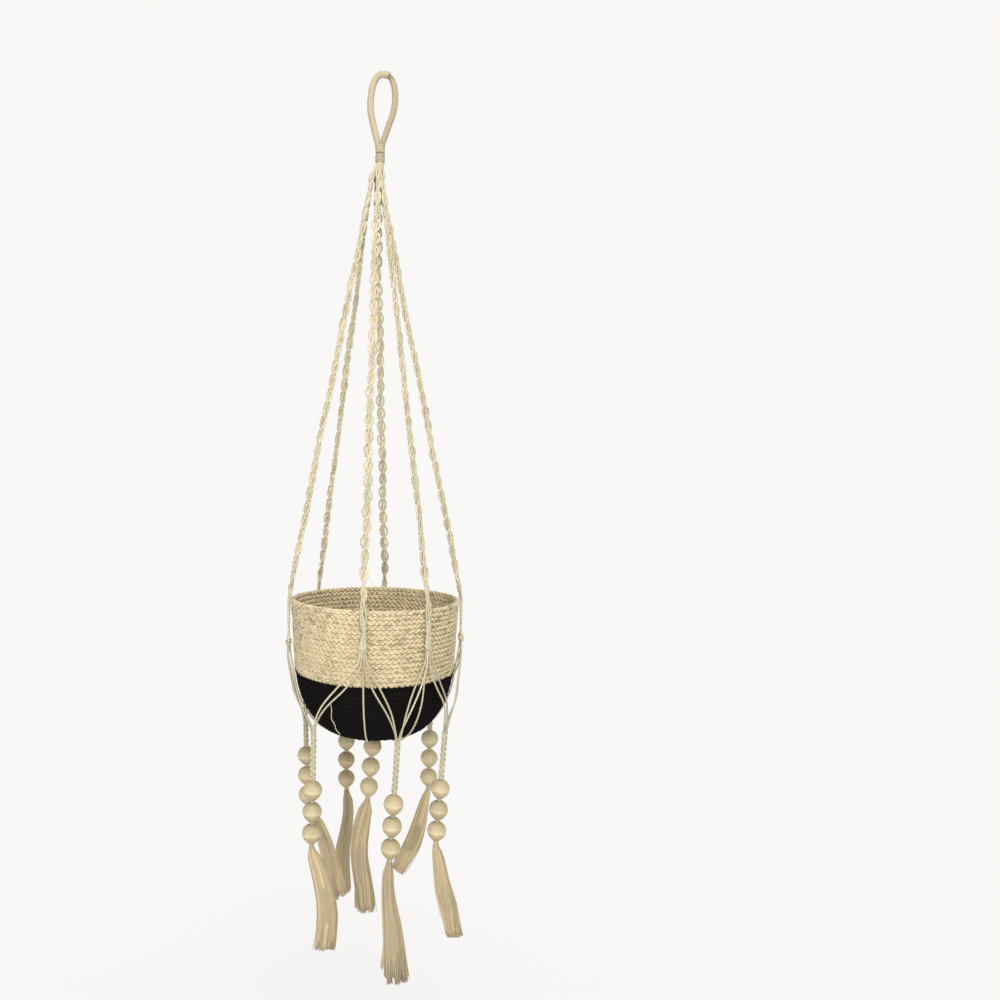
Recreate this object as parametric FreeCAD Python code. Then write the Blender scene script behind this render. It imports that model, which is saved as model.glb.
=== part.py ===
import FreeCAD, Part

# Hanging macrame planter: a sling of knotted jute cords that carries a plaited basket and seven beaded
# tassels. Millimetres. +Z is up, +X to the right and -Y to the front. The origin is where a hook bears in
# the hanging loop, so everything hangs below zero. A place round the planter is an angle from +X, a radius
# from the axis and a height.

import os
from math import acos, asin, atan2, cos, degrees, pi, radians, sin, sqrt, tan

Vector = FreeCAD.Vector

# ---- clearances ---------------------------------------------------------------------------------------
GAP = 0.3                    # between pieces that move past each other
SNUG = 0.05                  # between a winding and what it grips, and in a turning fit
SEAT = 0.15                  # between a cord's end and the knot that it enters
PAST = 1.0                   # how far a bore runs out past the ends of its piece
TINY = 1e-6                  # two points nearer than this are one
BEND_SHARE = 0.45            # of the shorter run that a bend in a cord takes up

# ---- hanging loop -------------------------------------------------------------------------------------
LOOP_CORD = 8.0              # thickness of the wrapped loop cord
EYE_WIDTH = 20.7             # inside of the eye at its widest
EYE_WIDEST_DROP = 28.0       # from the hook's bearing point to the eye's widest place
EYE_TOP_BEND = 10.0          # bend of the cord's middle line over the hook
EYE_LENGTH = 74.0            # from the hook's bearing point to the foot of the eye
CROTCH_LENGTH = 5.0          # where the two legs press together into the neck
CROTCH_RISE = 2.0            # how far the pressed legs reach up between the round ones
CROTCH_TOP_RADIUS = 7.2
CROTCH_RADIUS = 8.2          # of the pressed legs at their widest
CROTCH_WIDEST_DROP = 0.5     # from the eye's foot to that place
CROTCH_EDGE = 0.3            # upright edge left above the whipping

# ---- neck: two whippings round the gathered cords -----------------------------------------------------
NECK_DIAMETER = 11.4
WHIPPING_THICKNESS = 0.8
UPPER_WHIPPING_LENGTH = 11.7
LOWER_WHIPPING_LENGTH = 11.7
TURNING_CORE_DIAMETER = 6.0  # the cords' core that the lower whipping turns on
TURNING_CORE_LENGTH = 3.2
BALL_DIAMETER = 9.2          # rounded head of the cord crown, in the lower whipping's mouth
CROWN_SHOULDER_RADIUS = 7.3
CROWN_SHOULDER_DROP = 5.5    # from the swing point to the shoulder
CROWN_FOOT_RADIUS = 11.4
CROWN_HEIGHT = 19.0          # from the swing point to where the lines part
BALL_OPEN_DROP = 1.6         # where the crown leaves its round head

# ---- suspension lines ---------------------------------------------------------------------------------
LINE_ANGLES = (190.0, 135.0, 83.0, -2.0, -55.0, -97.0)
LINE_TOP_RADIUS = 8.2
LINE_THICKNESS = 4.6
FILLER_DIAMETER = 3.6
KNOT_PITCH = 17.0            # from one half knot to the next
KNOT_COUNT = 28              # ovals on a line
OVAL_WIDTH = 11.0
KNOT_WIDTH = 5.0             # of the pinched half knot between two ovals
LEAST_BOW = 0.1              # how far an oval bows where the lines crowd each other
STRAND_DIAMETER = 3.4        # the two bunches of cords below the last knot
STRAND_SPREAD = 3.9          # how far each bunch opens from the middle
STRAND_OPEN_SHARE = 0.45     # where on the way from the last knot to the rim it is widest open
STRAND_RIM_EASE = 0.4        # between the bunches at the rim, each side
STRAND_WALL_EASE = 0.8       # and half way from the rim to the gathering knot
RIM_POINT_HEIGHT = 6.0       # where a line bends over, above the basket's rim

# ---- basket -------------------------------------------------------------------------------------------
RIM_HEIGHT = -622.0
BASKET_DIAMETER = 200.0
WALL_THICKNESS = 5.0
NATURAL_HEIGHT = 85.0        # rim to where the black bowl begins
WALL_TAPER = 3.7             # degrees from upright
SHOULDER_RADIUS = 100.0      # black bowl, upper round
SHOULDER_END = 38.0          # degrees from upright where the lower round begins
FOOT_ROUND_RADIUS = 50.0     # black bowl, lower round
NATURAL_ROWS = 16            # plaited rows in the wall
ROW_DEPTH = 0.8              # groove between two rows
BRIM_RISE = 1.0              # roundness of the rim

# ---- net ----------------------------------------------------------------------------------------------
NET_CORD = 2.4
GATHER_DROPS = (52.0, 45.0, 45.0, 48.0, 43.0, 43.0)    # middle of each line's gathering knot, below the rim
GATHER_HEIGHT = 14.0
GATHER_WIDTH = 12.0
GATHER_DEPTH = 8.0
GATHER_ROUND = 1.6
GATHER_AIR = 1.7             # a gathering knot stands this much farther off the wall than a clearance
STUB_LENGTH = 12.5           # an inner cord's first stretch, and any cord's last above a junction
OUTER_STUB_LENGTH = 7.5      # an outer cord turns off higher
OUTER_LEAVE = 4.0            # sideways from a knot's middle to where its outer cords leave it
INNER_LEAVE = 1.5
LEAVE_OUT = 0.5              # how far outside the knot's middle the paired cords leave
LEAVE_DRAW = 0.1             # how much nearer to the wall they are at the end of the first stretch
LEAVE_WIDEN = 0.3            # and how much farther apart
SINGLE_LEAVE = 1.7           # how far inside the knot's middle the single cord leaves
TURN_IN = 14.0               # above a junction, where a straight way would have come round to it
BOW_SHARES = (0.34, 0.68)    # two places on the way from a knot to a junction
BOW_TURN_SHARES = (0.3, 0.66)    # how far round to the junction the cords have come there
BOW_SPREADS = (2.9, 2.1)     # how far the cords of a pair part there, each to its own side
BOW_OUTS = (1.5, 5.5)        # how far they bow outwards there
BOW_AIR = 0.9                # how far they stand off the basket at least
CLOSE_IN = 2.0               # at the start of its last stretch a cord is this far outside its end
CLOSE_ASIDE = 2.2            # and this far to its own side of it
JUNCTION_SPREAD = 1.35       # from a junction's middle to each of its four cords
JUNCTION_DRAW = 0.05         # how much they close up at the very end
CENTRE_RING = 3.6            # the six single cords round the middle
CENTRE_BEND = 4.4

# ---- hanging stems, beads and tassels -----------------------------------------------------------------
STEM_DIAMETER = 6.6          # braided stem
THREADED_DIAMETER = 5.4      # the same cords inside the beads
BEAD_DIAMETER = 22.0
BEAD_HEIGHT = 21.6
BEAD_BELLY_DIAMETER = 17.6   # half way between the middle and the flat
BEAD_BELLY_RISE = 6.5        # height of that place above the middle
BEAD_END_DIAMETER = 8.0      # flat round the hole
BEAD_PITCH = 24.4
STEM_END = 0.6               # below the lowest bead
CENTRE_HEAD_ROUND = 8.0      # the short middle stem swings on a flatter head
TASSEL_NECK_DIAMETER = 6.0
TASSEL_NECK_LENGTH = 3.0     # straight, below the round head

# Each hanging string: angle of its junction, how far that lies inside the rim's radius and below the rim,
# how far the first bead's middle is below the junction, and how far the string leans sideways in degrees.
STRINGS = {
    "1": (162.5, 12.0, 155.0, 44.4, 2.0),
    "2": (113.0, 9.0, 148.0, 51.6, 0.5),
    "3": (40.5, 5.0, 146.0, 42.5, -0.8),
    "4": (-26.5, 8.0, 148.0, 65.6, -4.2),
    "5": (-73.0, 9.0, 146.0, 68.3, -3.2),
    "6": (-138.0, 9.0, 147.0, 62.7, -0.5),
}
CENTRE_STRING = (13.8, -4.5)  # the middle one: its first bead's drop and its lean
# Each tassel below its lowest bead's middle: sideways, down and thickness at a few places.
TASSELS = {
    "1": ((5.0, 24.0, 12.0), (13.5, 36.0, 15.0), (24.0, 61.5, 18.0), (32.0, 98.0, 22.0), (41.0, 128.0, 21.0)),
    "2": ((2.0, 26.0, 12.0), (3.6, 44.0, 13.5), (0.0, 72.0, 15.0), (-5.0, 100.0, 18.0), (-2.0, 150.0, 18.0)),
    "3": ((-4.0, 27.0, 11.0), (-8.0, 45.0, 15.0), (-13.0, 67.0, 19.0), (-22.0, 91.0, 20.0), (-40.0, 122.0, 16.0)),
    "4": ((1.5, 27.0, 12.0), (4.5, 45.0, 16.0), (7.5, 63.0, 18.0), (15.5, 88.0, 19.0), (22.0, 123.0, 17.0)),
    "5": ((-2.5, 24.0, 11.0), (-2.5, 50.0, 14.5), (2.0, 80.0, 20.0), (5.8, 112.0, 24.0), (9.0, 149.0, 26.0)),
    "6": ((3.0, 27.0, 15.0), (9.0, 42.0, 19.0), (19.0, 84.0, 22.0), (18.5, 108.0, 22.0), (16.0, 134.0, 21.0)),
    "centre": ((-4.0, 27.0, 16.0), (-10.0, 54.0, 21.0), (-11.5, 84.0, 20.0), (-5.0, 116.0, 20.5), (0.0, 152.0, 20.0)),
}

# ---- worked out from the sizes above ------------------------------------------------------------------
NECK_RADIUS = NECK_DIAMETER / 2
CORE_RADIUS = NECK_RADIUS - WHIPPING_THICKNESS
NECK_TOP = -EYE_LENGTH - CROTCH_LENGTH
UPPER_WHIPPING_FOOT = NECK_TOP - UPPER_WHIPPING_LENGTH
LOWER_WHIPPING_TOP = UPPER_WHIPPING_FOOT - GAP
SWING_HEIGHT = LOWER_WHIPPING_TOP - LOWER_WHIPPING_LENGTH
CROWN_FOOT = SWING_HEIGHT - CROWN_HEIGHT
RIM_RADIUS = BASKET_DIAMETER / 2
RIM_POINT_RADIUS = RIM_RADIUS + GAP + LINE_THICKNESS / 2
DOWN = Vector(0, 0, -1)

os.makedirs("parts", exist_ok=True)


def save(name, *solids):
    """Writes one node's solids to its file."""
    shape = solids[0] if len(solids) == 1 else Part.makeCompound(list(solids))
    shape.exportStep("parts/" + name + ".step")
    print(name, len(shape.Solids), "solids", round(shape.Volume), "mm3")


def around(angle, radius, height, sideways=0.0):
    """A point at an angle round the axis, moved sideways along the tangent."""
    a = radians(angle)
    return Vector(radius * cos(a) - sideways * sin(a), radius * sin(a) + sideways * cos(a), height)


def tube(points, diameter):
    """A round cord along straight runs joined by arcs as large as the runs allow."""
    runs = [(b - a).Length for a, b in zip(points, points[1:])]
    edges = []
    start = points[0]
    tightest = None
    for i in range(1, len(points) - 1):
        back = (points[i - 1] - points[i]).normalize()
        ahead = (points[i + 1] - points[i]).normalize()
        turn = radians(180) - back.getAngle(ahead)
        reach = BEND_SHARE * min(runs[i - 1], runs[i])
        radius = reach / tan(turn / 2)
        inward = (back + ahead).normalize()
        middle = points[i] + inward * (radius / cos(turn / 2) - radius)
        edges.append(Part.LineSegment(start, points[i] + back * reach).toShape())
        edges.append(Part.Arc(points[i] + back * reach, middle, points[i] + ahead * reach).toShape())
        start = points[i] + ahead * reach
        tightest = radius if tightest is None else min(tightest, radius)
    edges.append(Part.LineSegment(start, points[-1]).toShape())
    return swept(edges, diameter, tightest)


def swept(edges, diameter, tightest=None):
    """A round cord along the given edges, end to end."""
    path = Part.Wire(edges)
    first = edges[0]
    begin = first.FirstParameter
    ring = Part.Circle(first.valueAt(begin), first.tangentAt(begin), diameter / 2)
    solid = path.makePipeShell([Part.Wire([ring.toShape()])], True, False)
    ideal = pi * diameter**2 / 4 * path.Length
    note = "" if tightest is None else f", tightest bend {tightest:.1f}"
    print(f"  cord {diameter} thick, {path.Length:.1f} long{note}, volume ratio {solid.Volume / ideal:.4f}")
    return solid


def turned(points):
    """A solid of revolution about Z. Its half outline is corners (r, z); three in a group make an arc."""
    edges = []
    here = None
    for p in points:
        corner = isinstance(p[0], (int, float))
        ends = [p] if corner else list(p)
        spots = [Vector(r, 0, z) for r, z in ends]
        if here is not None and (here - spots[0]).Length > TINY:
            edges.append(Part.LineSegment(here, spots[0]).toShape())
        if not corner:
            edges.append(Part.Arc(*spots).toShape())
        here = spots[-1]
    first = edges[0].valueAt(edges[0].FirstParameter)
    if (here - first).Length > TINY:
        edges.append(Part.LineSegment(here, first).toShape())
    face = Part.Face(Part.Wire(edges))
    return face.revolve(Vector(0, 0, 0), Vector(0, 0, 1), 360)


# ---- hanging loop -------------------------------------------------------------------------------------
def hanging_loop():
    """Teardrop eye of wrapped cord whose legs press together into the core of the upper whipping."""
    half_width = (EYE_WIDTH + LOOP_CORD) / 2
    top = Vector(0, 0, LOOP_CORD / 2)
    top_centre = top - Vector(0, 0, EYE_TOP_BEND)
    # each side is a wide arc that runs on from the top one and is upright at the widest place
    rise = top_centre.z + EYE_WIDEST_DROP
    side_bend = (half_width**2 + rise**2 - EYE_TOP_BEND**2) / (2 * (half_width - EYE_TOP_BEND))
    side_centre = Vector(half_width - side_bend, 0, -EYE_WIDEST_DROP)
    begin = atan2(rise, -side_centre.x)
    foot = Vector(LOOP_CORD / 2, 0, -EYE_LENGTH)
    # the leg leaves the side arc where a straight line to the foot touches it
    offset = foot - side_centre
    end = atan2(offset.z, offset.x) + acos(side_bend / offset.Length)

    def spot(turn, side):
        x = side_centre.x + side_bend * cos(turn)
        return Vector(side * x, 0, side_centre.z + side_bend * sin(turn))

    def mirrored(point):
        return Vector(-point.x, 0, point.z)

    eye = swept(
        [
            Part.LineSegment(foot, spot(end, 1)).toShape(),
            Part.Arc(spot(end, 1), spot((begin + end) / 2, 1), spot(begin, 1)).toShape(),
            Part.Arc(spot(begin, 1), top, spot(begin, -1)).toShape(),
            Part.Arc(spot(begin, -1), spot((begin + end) / 2, -1), spot(end, -1)).toShape(),
            Part.LineSegment(spot(end, -1), mirrored(foot)).toShape(),
        ],
        LOOP_CORD,
    )
    crotch_top = CROTCH_RISE - EYE_LENGTH
    core = turned(
        [
            (0, crotch_top),
            (CROTCH_TOP_RADIUS, crotch_top),
            (CROTCH_RADIUS, -EYE_LENGTH - CROTCH_WIDEST_DROP),
            (CORE_RADIUS, NECK_TOP + CROTCH_EDGE),
            (CORE_RADIUS, UPPER_WHIPPING_FOOT),
            (TURNING_CORE_DIAMETER / 2, UPPER_WHIPPING_FOOT),
            (TURNING_CORE_DIAMETER / 2, LOWER_WHIPPING_TOP - TURNING_CORE_LENGTH),
            (0, LOWER_WHIPPING_TOP - TURNING_CORE_LENGTH),
        ]
    )
    # the pressed legs are as deep as one cord above the whipping, and as wide as two
    depth = Part.makeBox(
        4 * LOOP_CORD, LOOP_CORD, crotch_top - NECK_TOP, Vector(-2 * LOOP_CORD, -LOOP_CORD / 2, NECK_TOP)
    )
    core_foot = LOWER_WHIPPING_TOP - TURNING_CORE_LENGTH
    neck_room = Part.makeCylinder(CORE_RADIUS, NECK_TOP - core_foot + PAST, Vector(0, 0, core_foot - PAST))
    pressed = core.common(depth.fuse(neck_room))
    return eye.fuse(pressed).removeSplitter()


def upper_whipping():
    """Winding that grips the core right below the eye."""
    return turned(
        [
            (CORE_RADIUS + SNUG, NECK_TOP),
            (NECK_RADIUS, NECK_TOP),
            (NECK_RADIUS, UPPER_WHIPPING_FOOT),
            (CORE_RADIUS + SNUG, UPPER_WHIPPING_FOOT),
        ]
    )


def lower_whipping():
    """Winding with its cords: it turns on the core above and holds the crown's rounded head below."""
    bore = TURNING_CORE_DIAMETER / 2 + SNUG
    bore_foot = LOWER_WHIPPING_TOP - TURNING_CORE_LENGTH - GAP
    cup = BALL_DIAMETER / 2 + GAP
    return turned(
        [
            (bore, LOWER_WHIPPING_TOP),
            (NECK_RADIUS, LOWER_WHIPPING_TOP),
            (NECK_RADIUS, SWING_HEIGHT),
            (
                (cup, SWING_HEIGHT),
                (cup * cos(pi / 4), SWING_HEIGHT + cup * sin(pi / 4)),
                (0, SWING_HEIGHT + cup),
            ),
            (0, bore_foot),
            (bore, bore_foot),
        ]
    )


def cord_crown():
    """The thirty cords where they leave the neck and fan out, with a rounded head to swing on."""
    ball = BALL_DIAMETER / 2
    open_radius = sqrt(ball**2 - BALL_OPEN_DROP**2)
    middle = (pi / 2 - asin(BALL_OPEN_DROP / ball)) / 2
    return turned(
        [
            (
                (0, SWING_HEIGHT + ball),
                (ball * cos(middle), SWING_HEIGHT + ball * sin(middle)),
                (open_radius, SWING_HEIGHT - BALL_OPEN_DROP),
            ),
            (CROWN_SHOULDER_RADIUS, SWING_HEIGHT - CROWN_SHOULDER_DROP),
            (CROWN_FOOT_RADIUS, CROWN_FOOT),
            (0, CROWN_FOOT),
        ]
    )


# ---- suspension lines ---------------------------------------------------------------------------------
def narrowest_step():
    """Half the smallest angle between two neighbouring lines, in radians."""
    ring = sorted(a % 360 for a in LINE_ANGLES)
    steps = [(b - a) % 360 for a, b in zip(ring, ring[1:] + ring[:1])]
    return radians(min(steps)) / 2


def suspension_line(index):
    """One line: filler cords, working cords knotted round them, and the two open bunches over the rim."""
    angle = LINE_ANGLES[index]
    top_height = CROWN_FOOT - SNUG
    foot_height = RIM_HEIGHT + RIM_POINT_HEIGHT
    lean = degrees(atan2(RIM_POINT_RADIUS - LINE_TOP_RADIUS, top_height - foot_height))
    slope = sin(radians(lean))
    # the tilted top stays just under the crown's flat foot
    start = LINE_THICKNESS / 2 * tan(radians(lean)) + SNUG
    knotted = start + KNOT_PITCH * KNOT_COUNT

    # flat outline of the working cords: down one side through every oval, and back up the other
    def room(down):
        """Half the width that the neighbouring lines leave at a distance down the line."""
        inner_face = LINE_TOP_RADIUS - LINE_THICKNESS / 2 + slope * down
        return inner_face * tan(narrowest_step()) - SNUG

    sides = []
    for side in (1, -1):
        arcs = []
        for k in range(KNOT_COUNT):
            upper = start + k * KNOT_PITCH
            lower = upper + KNOT_PITCH
            upper_knot = min(KNOT_WIDTH / 2, room(upper))
            lower_knot = min(KNOT_WIDTH / 2, room(lower))
            bow = max(min(OVAL_WIDTH / 2, room(upper)), (upper_knot + lower_knot) / 2 + LEAST_BOW)
            arcs.append(
                [
                    Vector(side * upper_knot, 0, -upper),
                    Vector(side * bow, 0, -(upper + lower) / 2),
                    Vector(side * lower_knot, 0, -lower),
                ]
            )
        sides.append(arcs)
    down_side, up_side = sides[0], [arc[::-1] for arc in sides[1][::-1]]
    edges = [Part.Arc(*arc).toShape() for arc in down_side]
    edges.append(Part.LineSegment(down_side[-1][-1], up_side[0][0]).toShape())
    edges += [Part.Arc(*arc).toShape() for arc in up_side]
    edges.append(Part.LineSegment(up_side[-1][-1], down_side[0][0]).toShape())
    outline = Part.Face(Part.Wire(edges))
    outline.translate(Vector(0, -LINE_THICKNESS / 2, 0))
    bar = outline.extrude(Vector(0, LINE_THICKNESS, 0))
    bore = Part.makeCylinder(FILLER_DIAMETER / 2 + SNUG, knotted + 2 * PAST, Vector(0, 0, PAST), DOWN)
    working = bar.cut(bore).removeSplitter()
    filler = Part.makeCylinder(FILLER_DIAMETER / 2, knotted - start, Vector(0, 0, -start), DOWN)

    # hang it from the crown's foot, leaning outwards, its flat side facing out
    place = FreeCAD.Placement(
        around(angle, LINE_TOP_RADIUS, top_height), FreeCAD.Rotation(Vector(0, 0, 1), angle + 90)
    ).multiply(FreeCAD.Placement(Vector(0, 0, 0), FreeCAD.Rotation(Vector(1, 0, 0), -lean)))
    solids = []
    for piece in (working, filler):
        placed = piece.copy()
        placed.Placement = place.multiply(piece.Placement)
        solids.append(placed)

    last_radius = LINE_TOP_RADIUS + slope * (knotted + GAP)
    last_height = top_height - cos(radians(lean)) * (knotted + GAP)
    gather_top = RIM_HEIGHT - GATHER_DROPS[index] + GATHER_HEIGHT / 2
    gather_radius = gathering_radius(index)
    together = STRAND_DIAMETER / 2 + SNUG
    for side in (1, -1):
        solids.append(
            tube(
                [
                    around(angle, last_radius, last_height, side * together),
                    around(
                        angle,
                        last_radius + (RIM_POINT_RADIUS - last_radius) * STRAND_OPEN_SHARE,
                        last_height + (foot_height - last_height) * STRAND_OPEN_SHARE,
                        side * STRAND_SPREAD,
                    ),
                    around(angle, RIM_POINT_RADIUS, foot_height, side * (together + STRAND_RIM_EASE)),
                    around(
                        angle,
                        (RIM_POINT_RADIUS + gather_radius) / 2,
                        (foot_height + gather_top) / 2,
                        side * (together + STRAND_WALL_EASE),
                    ),
                    around(angle, gather_radius, gather_top + SEAT, side * together),
                ],
                STRAND_DIAMETER,
            )
        )
    return solids


def wall_radius(drop):
    """Outside of the natural wall at a depth below the rim."""
    return RIM_RADIUS - tan(radians(WALL_TAPER)) * drop


def gathering_radius(index):
    """Middle of a gathering knot that hangs in front of the wall."""
    return wall_radius(GATHER_DROPS[index] - GATHER_HEIGHT / 2) + GAP + GATHER_AIR + GATHER_DEPTH / 2


def gathering_knot(index):
    """Flat rounded knot that gathers a line's five cords."""
    corner = Vector(-GATHER_DEPTH / 2, -GATHER_WIDTH / 2, -GATHER_HEIGHT / 2)
    knot = Part.makeBox(GATHER_DEPTH, GATHER_WIDTH, GATHER_HEIGHT, corner)
    knot = knot.makeFillet(GATHER_ROUND, knot.Edges)
    middle = around(LINE_ANGLES[index], gathering_radius(index), RIM_HEIGHT - GATHER_DROPS[index])
    knot.Placement = FreeCAD.Placement(middle, FreeCAD.Rotation(Vector(0, 0, 1), LINE_ANGLES[index]))
    return knot


# ---- basket -------------------------------------------------------------------------------------------
class Outline:
    """The basket's half outline, down from the rim: a straight wall and two rounds, then the flat foot."""

    def __init__(self, offset=0.0):
        """offset moves the whole outline outwards."""
        self.offset = offset
        taper = radians(WALL_TAPER)
        end = radians(SHOULDER_END)
        self.wall = NATURAL_HEIGHT / cos(taper)
        self.stretches = [
            (self.wall, None, taper, taper),
            (SHOULDER_RADIUS * (end - taper), SHOULDER_RADIUS, taper, end),
            (FOOT_ROUND_RADIUS * (radians(90) - end), FOOT_ROUND_RADIUS, end, radians(90)),
        ]
        self.length = sum(s[0] for s in self.stretches)

    def at(self, along):
        """(radius, height) and slope from upright at a distance along the unmoved outline."""
        r, z = RIM_RADIUS, RIM_HEIGHT
        for length, bend, begin, end in self.stretches:
            part = min(along, length)
            if bend is None:
                slope = begin
                r, z = r - part * sin(begin), z - part * cos(begin)
            else:
                slope = begin + part / bend
                r, z = r - bend * (cos(begin) - cos(slope)), z - bend * (sin(slope) - sin(begin))
            along -= part
            if along <= 0:
                break
        return r + self.offset * cos(slope), z - self.offset * sin(slope), slope

    def point(self, along):
        """(radius, height) at a distance along."""
        return self.at(along)[:2]


def basket_wall():
    """Natural plaited wall: each sewn row is a shallow round, inside plain."""
    outside = Outline()
    groove = Outline(-ROW_DEPTH)
    inside = Outline(-WALL_THICKNESS)
    row = outside.wall / NATURAL_ROWS
    rows = []
    for k in range(NATURAL_ROWS):
        rows.append((groove.point(k * row), outside.point((k + 0.5) * row), groove.point((k + 1) * row)))
    foot = groove.point(outside.wall)
    inner_foot = inside.point(outside.wall)
    outer_top = groove.point(0)
    inner_top = inside.point(0)
    brim = ((inner_top[0] + outer_top[0]) / 2, RIM_HEIGHT + BRIM_RISE)
    level = min(foot[1], inner_foot[1])
    body = turned(
        rows
        + [
            (foot[0], level),
            (inner_foot[0], level),
            inner_top,
            (inner_top, brim, outer_top),
        ]
    )
    return body


def black_bowl():
    """Black rounded bowl below the wall, with a flat foot."""
    outside = Outline()
    inside = Outline(-WALL_THICKNESS)
    begin = outside.wall
    shoulder = begin + outside.stretches[1][0]
    level = basket_split()
    top_outer = outside.point(begin)
    top_inner = inside.point(begin)
    end = outside.length
    arcs = [
        (outside.point(begin), outside.point((begin + shoulder) / 2), outside.point(shoulder)),
        (outside.point(shoulder), outside.point((shoulder + end) / 2), outside.point(end)),
    ]
    inner_arcs = [
        (inside.point(end), inside.point((shoulder + end) / 2), inside.point(shoulder)),
        (inside.point(shoulder), inside.point((begin + shoulder) / 2), inside.point(begin)),
    ]
    foot = outside.point(end)[1]
    shell = turned(
        [(top_outer[0], level)] + arcs + [(0, foot), (0, foot + WALL_THICKNESS)] + inner_arcs
        + [(top_inner[0], level)]
    )
    return shell


def basket_split():
    """Height of the flat joint between the natural wall and the black bowl."""
    wall = Outline().wall
    return min(Outline(-ROW_DEPTH).point(wall)[1], Outline(-WALL_THICKNESS).point(wall)[1])


# ---- net ----------------------------------------------------------------------------------------------
def junction(name):
    """Where a string's stem begins, under its junction."""
    if name == "centre":
        return Vector(0, 0, centre_height())
    angle, inside, drop = STRINGS[name][:3]
    return around(angle, RIM_RADIUS - inside, RIM_HEIGHT - drop)


def centre_height():
    """Height at which the six single cords end over the middle stem."""
    return Outline(GAP + NET_CORD / 2).point(Outline().length)[1] - CENTRE_BEND


def net_cord(index, neighbour, side, outer):
    """One cord of a pair: from the gathering knot round the wall and down to a junction."""
    line = LINE_ANGLES[index]
    angle, inside, drop = STRINGS[neighbour][:3]
    radius = RIM_RADIUS - inside
    height = RIM_HEIGHT - drop
    way = (angle - line + 180) % 360 - 180
    knot_foot = RIM_HEIGHT - GATHER_DROPS[index] - GATHER_HEIGHT / 2
    knot_radius = gathering_radius(index)
    offset = OUTER_LEAVE if outer else INNER_LEAVE
    away = 1 if outer else -1
    first = knot_foot - (OUTER_STUB_LENGTH if outer else STUB_LENGTH)
    last = height + TURN_IN
    points = [
        around(line, knot_radius + LEAVE_OUT, knot_foot - SEAT, side * offset),
        around(line, knot_radius + LEAVE_OUT - LEAVE_DRAW, first, side * (offset + LEAVE_WIDEN)),
    ]
    for share, turn_share, spread, bow in zip(BOW_SHARES, BOW_TURN_SHARES, BOW_SPREADS, BOW_OUTS):
        z = first + (last - first) * share
        free = knot_radius + (radius - knot_radius) * share + bow
        on_wall = wall_or_bowl(z) + GAP + NET_CORD / 2 + BOW_AIR
        aside = side * (offset * (1 - share) + away * spread)
        points.append(around(line + way * turn_share, max(free, on_wall), z, aside))
    end_radius = radius + away * JUNCTION_SPREAD
    aside = -side * (JUNCTION_SPREAD + CLOSE_ASIDE)
    points.append(around(angle, end_radius + CLOSE_IN, height + STUB_LENGTH, aside))
    points.append(around(angle, end_radius, height, -side * (JUNCTION_SPREAD - JUNCTION_DRAW)))
    return tube(points, NET_CORD)


def wall_or_bowl(height):
    """Outside radius of the basket at a height above its foot."""
    outline = Outline()
    low, high = 0.0, outline.length
    while high - low > TINY:
        mid = (low + high) / 2
        if outline.point(mid)[1] > height:
            low = mid
        else:
            high = mid
    return outline.point(low)[0]


def single_cord(index):
    """The cord that runs under the bowl to the middle, lying on the basket all the way."""
    line = LINE_ANGLES[index]
    on = Outline(GAP + NET_CORD / 2)
    shoulder = on.wall + on.stretches[1][0]
    knot_foot = RIM_HEIGHT - GATHER_DROPS[index] - GATHER_HEIGHT / 2
    taper = radians(WALL_TAPER)

    def spot(point):
        return around(line, point[0], point[1])

    # the straight stretch below the knot ends where it touches the bowl's upper round
    start = (gathering_radius(index) - SINGLE_LEAVE, knot_foot - SEAT)
    round_top = on.point(on.wall)
    bend = SHOULDER_RADIUS + on.offset
    from_middle = (start[0] - round_top[0] + bend * cos(taper), start[1] - round_top[1] - bend * sin(taper))
    distance = sqrt(from_middle[0] ** 2 + from_middle[1] ** 2)
    touch_slope = acos(bend / distance) - atan2(from_middle[1], from_middle[0])
    touch = on.wall + SHOULDER_RADIUS * (touch_slope - taper)
    foot_r, foot_z = on.point(on.length)
    bend = CENTRE_BEND
    corner = pi / 4
    edges = [
        Part.LineSegment(spot(start), spot(on.point(touch))).toShape(),
        Part.Arc(
            spot(on.point(touch)), spot(on.point((touch + shoulder) / 2)), spot(on.point(shoulder))
        ).toShape(),
        Part.Arc(
            spot(on.point(shoulder)), spot(on.point((shoulder + on.length) / 2)), spot(on.point(on.length))
        ).toShape(),
        Part.LineSegment(spot((foot_r, foot_z)), spot((CENTRE_RING + bend, foot_z))).toShape(),
        Part.Arc(
            spot((CENTRE_RING + bend, foot_z)),
            spot((CENTRE_RING + bend * (1 - sin(corner)), foot_z - bend * (1 - cos(corner)))),
            spot((CENTRE_RING, foot_z - bend)),
        ).toShape(),
    ]
    return swept(edges, NET_CORD)


def net_cords(index):
    """The five cords below a gathering knot."""
    count = len(LINE_ANGLES)
    # going round with the angle falling, string k hangs between line k and line k + 1
    names = list(STRINGS)
    left = names[index]
    right = names[(index - 1) % count]
    cords = [single_cord(index)]
    for outer in (True, False):
        cords.append(net_cord(index, left, -1, outer))
        cords.append(net_cord(index, right, 1, outer))
    return cords


# ---- hanging strings ----------------------------------------------------------------------------------
def string_frame(name):
    """Placement that carries the upright string, hung from the origin, to its junction and lean."""
    top = junction(name) - Vector(0, 0, GAP)
    return FreeCAD.Placement(top, FreeCAD.Rotation(Vector(0, 1, 0), -string_lean(name)))


def string_lean(name):
    """Sideways lean of a string in degrees."""
    return CENTRE_STRING[-1] if name == "centre" else STRINGS[name][-1]


def first_bead_drop(name):
    """From the stem's top to the middle of its first bead, along the stem."""
    drop = CENTRE_STRING[0] if name == "centre" else STRINGS[name][3]
    return (drop - GAP) / cos(radians(string_lean(name)))


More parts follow.
